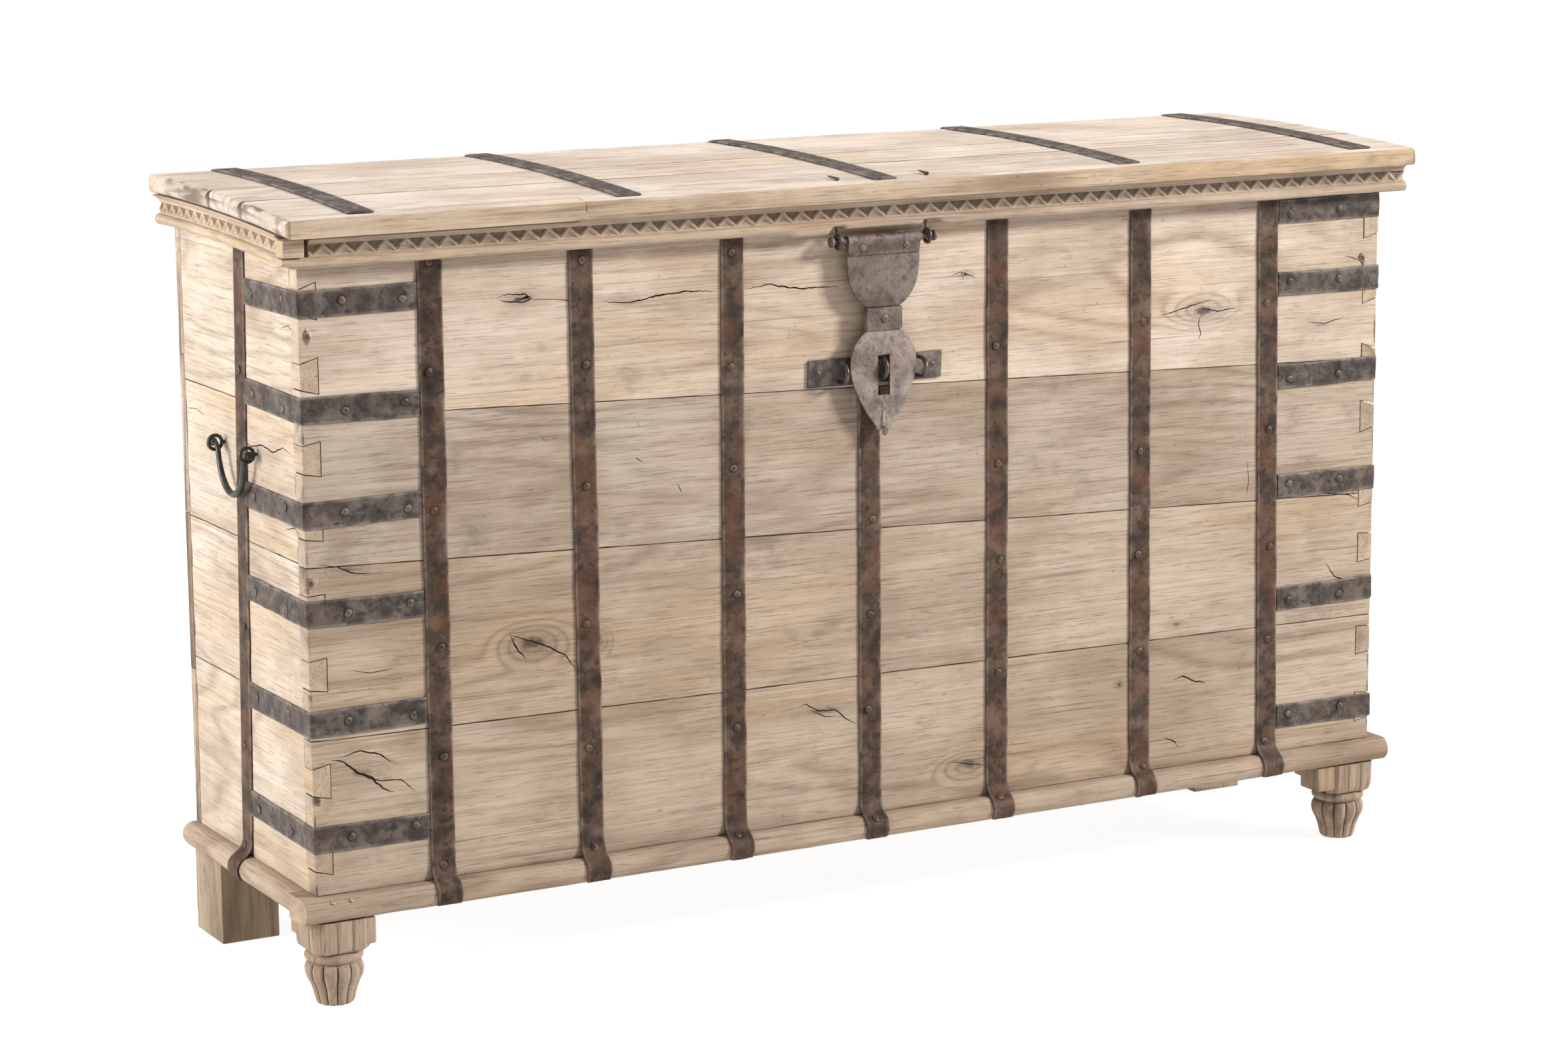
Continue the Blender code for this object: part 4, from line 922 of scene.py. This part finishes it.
def make_frieze():
    top = lid_under(FRONT - 0.0265) - GAP

    def front(a, o, h):
        return a, FRONT - o, top + h

    reach = LID_END - 0.002
    fine = FRIEZE_PITCH / 24
    finish = wood("frieze_wood", 91.0, tint=(0.98, 0.95, 0.91), stain=0.25, grain=0.9)
    finish_end = wood("frieze_end_wood", 97.0, "Y", tint=(1.0, 0.96, 0.90), stain=0.2, grain=0.8)
    shape = Shape()
    along = np.arange(-0.7425, reach, fine)
    drop = np.where(along < STRIP_END_X, 0.0045, 0.0006)
    rows, wear = frieze_upper(along, front, 2.0, drop)
    shape.loft(rows, wear)
    along = spaced(-reach, reach, 0.003)
    scale = 1
    for size, *where in (*BEAD_SWELLS, (-0.35, -0.999, -reach + 0.003, -reach + 0.004, -reach + 0.012)):
        scale = scale + size * smooth(along, *where[:2]) * (1 - smooth(along, *where[2:]))
    shape.loft(frieze_bead(along, front, 3.0, scale))
    shape.block((-reach, FRONT - 0.0264, top - 0.0235), (-0.7500, FRONT - 0.0050, top - 0.0035), 0.0016, 4.0,
                0.0007)
    shape.make("frieze_front_carved", "lid", ["lid_frieze_front"], [finish], "pale_wood", crease=24)

    for name, side in (("left", -1), ("right", 1)):
        def end(a, o, h, s=side):
            return s * (END + o), a, lid_under(a) - GAP + h

        y0, y1 = FRONT - 0.0042, BACK - 0.001
        along = np.arange(y0, y1, fine)
        shape = Shape()
        rows, wear = frieze_upper(along, end, 5.0 + side, np.full(len(along), 0.0006))
        shape.loft(rows, wear)
        along = spaced(y0, y1, 0.004)
        shape.loft(frieze_bead(along, end, 8.0 + side, np.ones(len(along))))
        shape.make(f"frieze_{name}_carved", "lid", [f"lid_frieze_{name}"], [finish_end], "pale_wood", crease=24)


# ---------------------------------------------------------------- straps


def nose_path(top):
    """Down a face, then over the base's rounded edge: (distance out, height)."""
    turn = np.radians(np.linspace(66, -48, 12))
    nose = [(0.005 + 0.0152 * math.cos(t), LEG_HEIGHT + 0.015 + 0.0152 * math.sin(t)) for t in turn]
    return [(0.0, top), (0.0, BODY_Z + 0.018), (0.0012, BODY_Z + 0.0110), (0.0045, BODY_Z + 0.0050), *nose]


def nail_shares(count, seed):
    """Places of nails along a strap, at uneven distances."""
    first, last = 0.04, 0.955
    return [first + (last - first) * (i / (count - 1)) + 0.020 * math.sin(4.7 * i + seed) for i in range(count)]


def make_strap(shape, node, body, finish):
    shape.make(f"{node}_hammered", body, [node], [finish], "strap_iron", crease=30)


def make_front_straps():
    for index, (x, lean) in enumerate(FRONT_STRAPS):
        top, count = (SHORT_STRAP_TOP, 5) if index == 3 else (STRAP_TOP, 6)
        path = [(x - lean / LEAN_LENGTH * (z - BODY_Z - LEAN_CENTRE), FRONT - out, z)
                for out, z in nose_path(BODY_Z + top)]
        shape = strap(path, (-1, 0, 0), index + 1.0, nail_shares(count, index))
        make_strap(shape, f"front_strap_{index + 1}", "chest", STRAP)


def end_strap_y(z):
    """The end straps lean a little to the rear on their way down."""
    return MIDDLE_Y - 0.003 + 0.049 * (BODY_Z + 0.40 - z)


def make_end_straps():
    for name, side in (("left", -1), ("right", 1)):
        path = [(side * (END + out), end_strap_y(z), z) for out, z in nose_path(BODY_Z + STRAP_TOP)]
        shape = strap(path, (0, -side, 0), 12.0 + side, nail_shares(6, 2 + side))
        make_strap(shape, f"{name}_end_strap", "chest", STRAP)


def make_corner_bands():
    for name, side, heights, (strap_x, lean) in (("left", -1, LEFT_BANDS, FRONT_STRAPS[0]),
                                                 ("right", 1, RIGHT_BANDS, FRONT_STRAPS[-1])):
        for index, height in enumerate(heights):
            z = BODY_Z + height
            inner = (strap_x + lean / LEAN_LENGTH * (BODY_Z + LEAN_CENTRE - z)
                     + side * (STRAP_WIDE / 2 + 0.0010))
            rear = end_strap_y(z) - STRAP_WIDE / 2 - 0.0022
            tilt = 0.0015 * math.sin(3 * index + side)
            bend = 0.0012
            path = [(inner, FRONT, z + tilt), (side * (END - bend), FRONT, z),
                    (side * (END - 0.3 * bend), FRONT - 0.0001, z), (side * (END + 0.0001), FRONT + 0.3 * bend, z),
                    (side * END, FRONT + bend, z), (side * END, rear, z - tilt)]
            shape = strap(path, (0, 0, -side), 20.0 + index + 7 * side, (0.06, 0.30, 0.62, 0.93))
            make_strap(shape, f"{name}_corner_band_{index + 1}", "chest", BAND)


KNUCKLE_RADIUS, KNUCKLE_HALF = 0.006, 0.0055


def make_lid_straps():
    y0, y1 = LID_FRONT + 0.016, LID_BACK - 0.005
    for index, x in enumerate(LID_STRAPS):
        top = [(x, y, lid_under(y) + LID_THICK) for y in np.linspace(y0, y1, 24)]
        crown = lid_under(y1) + LID_THICK - 0.005
        bend = [(x, y1 + 0.0052 * math.sin(t), crown + 0.0052 * math.cos(t))
                for t in np.radians(np.linspace(20, 90, 6))]
        path = [*top, *bend, (x, LID_BACK + 0.0003, crown - 0.009)]
        shape = strap(path, (1, 0, 0), 40.0 + index, (0.05, 0.34, 0.62, 0.90), proud=0.0009)
        if index in (1, 3):  # these two carry the hinges' knuckles
            hinge_y, hinge_z = BACK + 0.0141 - KNUCKLE_RADIUS, lid_under(LID_BACK) - 0.007
            ends = x - KNUCKLE_HALF, x + KNUCKLE_HALF
            shape.tube([(ends[0], hinge_y, hinge_z), (x, hinge_y, hinge_z), (ends[1], hinge_y, hinge_z)],
                       KNUCKLE_RADIUS, sides=20)
            shape.block((ends[0], LID_BACK + 0.0006, hinge_z), (ends[1], LID_BACK + 0.0034, crown - 0.004),
                        0.0006, 1.0)
        make_strap(shape, f"lid_strap_{index + 1}", "lid", BAND)


# ---------------------------------------------------------------- legs


def make_front_leg(side, wing_reach):
    """A cracked chamfered block with two wings, a ring and a lobed foot."""
    x, y = side * LEG_X, LEG_Y
    shape = Shape()
    top, half, cut = LEG_HEIGHT - GAP, 0.0365, 0.011
    corners = [(-half + cut, -half), (half - cut, -half), (half, -half + cut), (half, half - cut),
               (half - cut, half), (-half + cut, half), (-half, half - cut), (-half, -half + cut)]
    edge = resample([(*corner, 0) for corner in corners + corners[:1]], 0.0020)[:-1, :2]
    turn = np.arctan2(edge[:, 1], edge[:, 0])
    grooves = sum(np.exp(-((turn - t + math.pi) % (2 * math.pi) - math.pi) ** 2 / 0.0006)
                  for t in (-1.84, -1.30, -2.75, 2.6, 0.2, 1.1))  # the block's cracks, by their angle
    rows = []
    for z, size in ((top, 1.0), (0.092, 1.0), (0.080, 0.995), (0.072, 0.985), (0.068, 0.95), (0.0655, 0.86),
                    (0.0635, 0.70)):
        points = edge * (size - 0.035 * grooves[:, None])
        rows.append(np.column_stack([x + points[:, 0], y + points[:, 1], np.full(len(points), z)]))
    rows = np.array(rows)
    rows[..., :2] += 0.0005 * lumps(rows, 0.015, side)[..., None]
    shape.loft(rows, -0.9 * np.clip(np.broadcast_to(grooves, rows.shape[:2]), 0, 1))

    inward = -side
    wing = sorted((x + inward * 0.020, x + inward * (wing_reach - 0.0005)))
    shape.block((wing[0], y - 0.0330, 0.0725), (wing[1], y + 0.006, top), 0.0020, 3.0, 0.0006)
    shape.block((x - 0.0300, y + 0.020, 0.0745), (x + 0.0300, y + 0.0575, top), 0.0020, 5.0, 0.0006)

    sides, lobes = 168, 12
    turn = circle(sides)
    lobe = abs(np.cos(lobes * turn / 2)) ** 0.45
    profile = [  # radius, height, how deep the grooves between the lobes are
        (0.0233, 0.0660, 0), (0.0279, 0.0650, 0), (0.0321, 0.0630, 0), (0.0342, 0.0600, 0), (0.0346, 0.0575, 0),
        (0.0335, 0.0548, 0), (0.0314, 0.0528, 0), (0.0293, 0.0518, 0), (0.0288, 0.0510, 0.3),
        (0.0312, 0.0500, 0.6), (0.0335, 0.0475, 1), (0.0347, 0.0440, 1), (0.0348, 0.0400, 1),
        (0.0341, 0.0350, 1), (0.0320, 0.0300, 1), (0.0295, 0.0255, 1), (0.0274, 0.0200, 1),
        (0.0256, 0.0140, 1), (0.0241, 0.0080, 1), (0.0230, 0.0035, 1), (0.0218, 0.0010, 0.9), (0.0205, 0.0, 0.8)]
    rows, wear = [], []
    for radius, z, lobed in profile:
        ring = radius * (1 - 0.13 * lobed * (1 - lobe))
        rows.append(np.column_stack([x + ring * np.cos(turn), y + ring * np.sin(turn), np.full(sides, z)]))
        wear.append(-lobed * (1 - smooth(lobe, 0.15, 0.65)))
    rows = np.array(rows)
    rows[..., :2] += 0.0004 * lumps(rows, 0.012, side + 3)[..., None]
    shape.loft(rows, np.array(wear))
    return shape


def make_legs():
    # painted shade: the front legs' wood is tinted darker for the shade under the chest's overhang
    finish = wood("leg_wood", 103.0, "Z", tint=(0.80, 0.76, 0.70), stain=1.0)
    for name, side, wing_reach in (("leg_front_left", -1, 0.041), ("leg_front_right", 1, 0.058)):
        shape = make_front_leg(side, wing_reach)
        shape.make(f"{name}_turned", "chest", [name], [finish], "bleached_wood", crease=30)
    # painted shadow: the rear legs, further under the chest, are tinted darker still
    finish = wood("rear_leg_wood", 109.0, "Z", tint=(0.66, 0.62, 0.55), stain=0.8)
    for name, side in (("leg_rear_left", -1), ("leg_rear_right", 1)):
        low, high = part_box(name)
        along = spaced(low.z, high.z, 0.006, 0.003)
        shape = plank(Shape(), lambda u, v, w: (v, low.y + w, u), along, low.x, high.x, high.y - low.y,
                      110.0 + side, rows=12, end_wear=0.002, wear=0.0022, edge_wear=(0.4, 0.4))
        shape.make(f"{name}_worn", "chest", [name], [finish], "bleached_wood")


# ---------------------------------------------------------------- hasp and staple


def ring_path(centre, radius, normal):
    """Points round an upright ring; its first direction is across normal and Z."""
    aside = np.cross(np.asarray(normal, float), (0, 0, 1.0))
    aside /= np.linalg.norm(aside)
    turn = circle(28)
    up = np.array([0, 0, 1.0])
    return np.asarray(centre) + radius * (np.cos(turn)[:, None] * aside + np.sin(turn)[:, None] * up)


def curve_through(points, count):
    """A smooth line through points, by Catmull-Rom."""
    points = [Vector(p) for p in points]
    padded = [2 * points[0] - points[1], *points, 2 * points[-1] - points[-2]]
    made = []
    for i in range(1, len(padded) - 2):
        a, b, c, d = padded[i - 1:i + 3]
        for step in range(count):
            t = step / count
            made.append(0.5 * ((2 * b) + (c - a) * t + (2 * a - 5 * b + 4 * c - d) * t * t
                               + (3 * b - a - 3 * c + d) * t ** 3))
    return [*made, points[-1]]


def hasp_half():
    """Its two plates' outlines, as half widths and heights over the base from the top down."""
    shield = curve_through([(0.0500, 0.700), (0.0502, 0.690), (0.0485, 0.672), (0.0435, 0.656), (0.0340, 0.643),
                            (0.0225, 0.634)], 4)
    leaf = curve_through([(0.0205, 0.607), (0.0295, 0.601), (0.0395, 0.589), (0.0450, 0.574), (0.0455, 0.558),
                          (0.0410, 0.540), (0.0320, 0.520), (0.0210, 0.502), (0.0110, 0.489), (0.0085, 0.484)], 4)
    return [(0.0500, 0.716), *shield], leaf


def plate(name, outline, y0, y1, bevel):
    """A flat plate with softened edges, from an outline in X and Z."""
    bm = bmesh.new()
    face = bm.faces.new([bm.verts.new((x, y0, z)) for x, z in outline])
    grown = bmesh.ops.extrude_face_region(bm, geom=[face])["geom"]
    bmesh.ops.translate(bm, vec=(0, y1 - y0, 0), verts=[g for g in grown if isinstance(g, bmesh.types.BMVert)])
    rim = [edge for edge in bm.edges if abs(edge.verts[0].co.y - edge.verts[1].co.y) < 1e-6]
    bmesh.ops.bevel(bm, geom=rim, offset=bevel, segments=2, profile=0.6, affect="EDGES")
    mesh = bpy.data.meshes.new(name)
    bmesh.ops.recalc_face_normals(bm, faces=bm.faces)
    bm.to_mesh(mesh)
    bm.free()
    return mesh


def add_mesh(shape, mesh, wear=0.25, slot=0):
    """Moves a mesh's points and faces into shape."""
    first = len(shape.points)
    shape.points += [tuple(v.co) for v in mesh.vertices]
    shape.wear += [wear] * len(mesh.vertices)
    shape.faces += [[first + i for i in face.vertices] for face in mesh.polygons]
    shape.slots += [slot] * len(mesh.polygons)
    bpy.data.meshes.remove(mesh)
    return shape


def mirrored(half):
    """Both sides of an outline given by its right half."""
    return ([(HASP_X + width, BODY_Z + height) for width, height in half]
            + [(HASP_X - width, BODY_Z + height) for width, height in reversed(half)])


def make_hasp():
    """Shield, leaf, fold and collar as plates, then the slot, the rolled top, its rod, the rivets and the tip."""
    y0, y1 = HASP_Y - HASP_HALF_THICK, HASP_Y + HASP_HALF_THICK
    shield, leaf = hasp_half()
    shape = add_mesh(Shape(), plate("shield", mirrored(shield), y0, y1, 0.0007))
    add_mesh(shape, plate("leaf", mirrored(leaf), y0, y1, 0.0007), slot=2)
    fold = [(0.0495, 0.7165), (0.0500, 0.706), (0.0488, 0.6985)]
    add_mesh(shape, plate("fold", mirrored(fold), y0 - 0.0026, y0 + 0.001, 0.0007))
    collar = [(0.0243, 0.6335), (0.0246, 0.620), (0.0243, 0.6060)]
    add_mesh(shape, plate("collar", mirrored(collar), y0 - 0.0028, y1 + 0.0025, 0.0008))
    half_slot, past = 0.00825, 0.01
    slot = Shape().loft([[(x, y0 - past, z), (x, y1 + past, z), (x, y1 + past, high), (x, y0 - past, high)]
                         for x, z, high in ((HASP_X - half_slot, BODY_Z + 0.5265, BODY_Z + 0.5750),
                                            (HASP_X + half_slot, BODY_Z + 0.5260, BODY_Z + 0.5755))])
    cutter = cutter_object("slot_cut", slot)
    roll = [(HASP_X + x, HASP_Y, HASP_Z + 0.0003 * math.sin(300 * x)) for x in np.linspace(-0.0503, 0.0503, 12)]
    shape.tube(roll, 0.0068, sides=18, wear=0.3)
    shape.tube([(HASP_X + x, HASP_Y, HASP_Z) for x in np.linspace(-0.0725, 0.0725, 8)], 0.0039, wear=0.3)
    for side in (-1, 1):
        head = [(HASP_X + side * (0.0688 + d), HASP_Y, HASP_Z) for d in (0, 0.0006, 0.0022, 0.0038, 0.0045)]
        shape.tube(head, [0.0050, 0.0064, 0.0068, 0.0062, 0.0046], sides=14, wear=0.6)
        shape.dome((HASP_X + side * 0.0305, y0 - 0.0024, BODY_Z + 0.7075), (0, -1, 0), 0.0042, 0.0020, side)
    shape.dome((HASP_X, y0 - 0.0026, BODY_Z + 0.6200), (0, -1, 0), 0.0050, 0.0024, 2.0)
    tip = [(HASP_X + 0.0005, y0 - 0.0010 - d, BODY_Z + 0.4865 + h)
           for d, h in ((-0.0012, -0.001), (0.0010, -0.0022), (0.0026, -0.001), (0.0034, 0.0016))]
    shape.tube(tip, [0.0095, 0.0085, 0.0070, 0.0050], wear=0.6, flat=0.25, slot=2)
    ridge = [(HASP_X - 0.001, y0 - 0.0002, BODY_Z + z) for z in (0.489, 0.494, 0.502, 0.509)]
    shape.tube(ridge, [0.0030, 0.0020, 0.0014, 0.0004], wear=0.8, sides=8, slot=2)
    shape.make("hasp_forged", "hasp", ["hasp"], [HASP_IRON, CRACK, LEAF_IRON], "hasp_iron", cutter, crease=32)
    bpy.data.objects.remove(cutter)

    make_hasp_eyes()


def make_hasp_eyes():
    """Two rings, each with a shank up through the lid and its clenched tail on the lid's top."""
    radius = 0.0075
    for name, side in (("left", -1), ("right", 1)):
        x = HASP_X + side * 0.062
        shape = Shape().tube(ring_path((x, HASP_Y, HASP_Z), radius, (1, 0, 0)), 0.0026, closed=True, wear=0.5)
        top = lid_under(HASP_Y) + LID_THICK
        shank = [(x, HASP_Y, HASP_Z + radius), (x, HASP_Y + 0.0025, HASP_Z + 0.0105),
                 (x, HASP_Y + 0.0035, HASP_Z + 0.016), (x, HASP_Y + 0.0035, top + 0.003)]
        shape.tube(shank, 0.0018)
        tail = [(x + 0.05 * side * d, HASP_Y + d, lid_under(HASP_Y + d) + LID_THICK + 0.0022)
                for d in np.linspace(-0.001, 0.022, 6)]
        shape.tube(tail, [0.0020, 0.0018, 0.0016, 0.0015, 0.0012, 0.0008])
        node = f"hasp_eye_{name}"
        shape.make(f"{node}_forged", "lid", [node], [LOOP_IRON], "hasp_iron")


def make_staple():
    """A plate with the staple that the hasp's slot goes over, and a loop on each side of it."""
    y1 = FRONT - GAP
    middle = BODY_Z + 0.556
    low, high = middle - 0.0165, middle + 0.0160
    ends = [(-0.100, low), (0.0865, low), (0.0880, high), (-0.0985, middle + 0.0170)]
    shape = add_mesh(Shape(), plate("staple", ends, y1 - STAPLE_PLATE_THICK, y1, 0.0006), 0.2)
    root, out = y1 - 0.002, FRONT - STAPLE_REACH
    for x, height in ((HASP_X, BODY_Z + 0.559), (HASP_X - SIDE_LOOP, middle), (HASP_X + SIDE_LOOP, middle)):
        bow = [(x, out - STAPLE_RADIUS * math.sin(t), height + STAPLE_RADIUS * math.cos(t))
               for t in np.linspace(0, math.pi, 14)]
        shape.tube([(x, root, bow[0][2]), *bow, (x, root, bow[-1][2])], STAPLE_WIRE, slot=1, wear=0.5)
    for number, x in enumerate((-0.086, 0.074)):
        shape.dome((x, y1 - 0.0026, middle), (0, -1, 0), 0.0042, 0.0013, number + 4.0)
    shape.make("staple_plate_forged", "chest", ["staple_plate"], [PLATE_IRON, LOOP_IRON], "hasp_iron")


def make_handles():
    for name, side, z in (("left", -1, BODY_Z + 0.497), ("right", 1, BODY_Z + 0.558)):
        x = side * (END + 0.0125)
        turn = np.linspace(0, math.pi, 25)
        bend = [(x, HANDLE_Y + (HANDLE_REACH - 0.009) * math.cos(t), z - HANDLE_DROP * math.sin(t)) for t in turn]
        stub = [(HANDLE_REACH + past, share) for past, share in
                ((0.0105, 0.8), (0.0085, 1.35), (0.0060, 1.30), (0.0045, 0.80), (-0.003, 0.72))]
        path = ([(x, HANDLE_Y + a, z) for a, _ in stub] + bend[1:-1]
                + [(x, HANDLE_Y - a, z) for a, _ in reversed(stub)])
        shares = ([share for _, share in stub] + [0.74 + 0.30 * math.sin(t) for t in turn[1:-1]]
                  + [share for _, share in reversed(stub)])
        node = f"{name}_handle"
        Shape().tube(path, HANDLE_RADIUS * np.array(shares), sides=14, wear=0.4).make(
            f"{node}_forged", node, [node], [HANDLE_IRON], "handle_iron")
        for place, across in (("front", -1), ("rear", 1)):
            y = HANDLE_Y + across * HANDLE_REACH
            shape = Shape().tube(ring_path((x, y, z), 0.0085, (0, 1, 0)), 0.0022, closed=True)
            shape.tube([(side * (END + out), y, z) for out in (GAP, 0.002, 0.004)], 0.0021)
            node = f"{name}_handle_eye_{place}"
            shape.make(f"{node}_forged", "chest", [node], [HANDLE_IRON], "handle_iron")


# ---------------------------------------------------------------- stage


def area_light(name, place, aim, size, power):
    lamp = bpy.data.lights.new(name, "AREA")
    lamp.shape, lamp.size, lamp.size_y = "RECTANGLE", *size
    lamp.energy = power
    obj = bpy.data.objects.new(name, lamp)
    obj.location = place
    obj.rotation_euler = (Vector(aim) - Vector(place)).to_track_quat("-Z", "Y").to_euler()
    bpy.context.scene.collection.objects.link(obj)


def make_stage():
    """A bright white floor and world, with three lamps."""
    bm = bmesh.new()
    corners = ((-1, -1), (1, -1), (1, 1), (-1, 1))
    bm.faces.new([bm.verts.new((30 * x, 30 * y, 0)) for x, y in corners])
    mesh = bpy.data.meshes.new("floor")
    bm.to_mesh(mesh)
    bm.free()
    floor = bpy.data.objects.new("floor", mesh)
    made, _, shader = new_material("floor_look")
    for key, value in (("Base Color", (0.20, 0.20, 0.20, 1)), ("Roughness", 0.9), ("Specular IOR Level", 0.1),
                       ("Emission Color", (1, 1, 1, 1)), ("Emission Strength", 0.90)):
        shader.inputs[key].default_value = value
    mesh.materials.append(made)
    bpy.context.scene.collection.objects.link(floor)
    world = bpy.data.worlds.new("studio")
    world.use_nodes = True
    background = world.node_tree.nodes["Background"].inputs
    background["Color"].default_value = (1, 1, 1, 1)
    background["Strength"].default_value = 0.45
    bpy.context.scene.world = world
    area_light("key", (6.24, -4.6, 4.3), (0, -0.1, 0.5), (1.7, 1.7), 1080)
    area_light("left_fill", (-4.2, 0.6, 1.5), (-0.75, 0, 0.55), (2.5, 2.0), 220)
    area_light("top", (0, 0.7, 3.6), (0, 0, 0.9), (2.6, 1.2), 75)


def make_camera():
    azimuth, elevation, roll = (math.radians(a) for a in (-28.64, 10.82, -0.458))
    aim, distance = Vector((-0.0255, MIDDLE_Y, 0.4721)), 4.9326
    level = math.cos(elevation)
    back = Vector((math.sin(azimuth) * level, -math.cos(azimuth) * level, math.sin(elevation)))
    right = Vector((math.cos(azimuth), math.sin(azimuth), 0))
    up = back.cross(right)
    across = math.cos(roll) * right + math.sin(roll) * up
    upward = math.cos(roll) * up - math.sin(roll) * right
    lens = bpy.data.cameras.new("camera")
    lens.lens, lens.sensor_width = 89.5, 36.0
    camera = bpy.data.objects.new("camera", lens)
    turn = Matrix((across, upward, back)).transposed().to_4x4()
    camera.matrix_world = Matrix.Translation(aim + distance * back) @ turn
    bpy.context.scene.collection.objects.link(camera)
    bpy.context.scene.camera = camera
    bpy.context.scene.view_settings.view_transform = "Standard"


def finish_cad_nodes():
    """The back hinge straps stay the CAD's own solids, in the bands' iron."""
    for node in ("back_hinge_strap_left", "back_hinge_strap_right"):
        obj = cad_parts[node]
        obj.data.materials.clear()
        obj.data.materials.append(BAND)


make_front()
make_end("left", -1, LEFT_SEAMS, LEFT_CRACKS)
make_end("right", 1, RIGHT_SEAMS)
make_back_and_base()
make_lid_boards()
make_frieze()
make_front_straps()
make_end_straps()
make_corner_bands()
make_lid_straps()
make_legs()
make_hasp()
make_staple()
make_handles()
finish_cad_nodes()
make_stage()
make_camera()
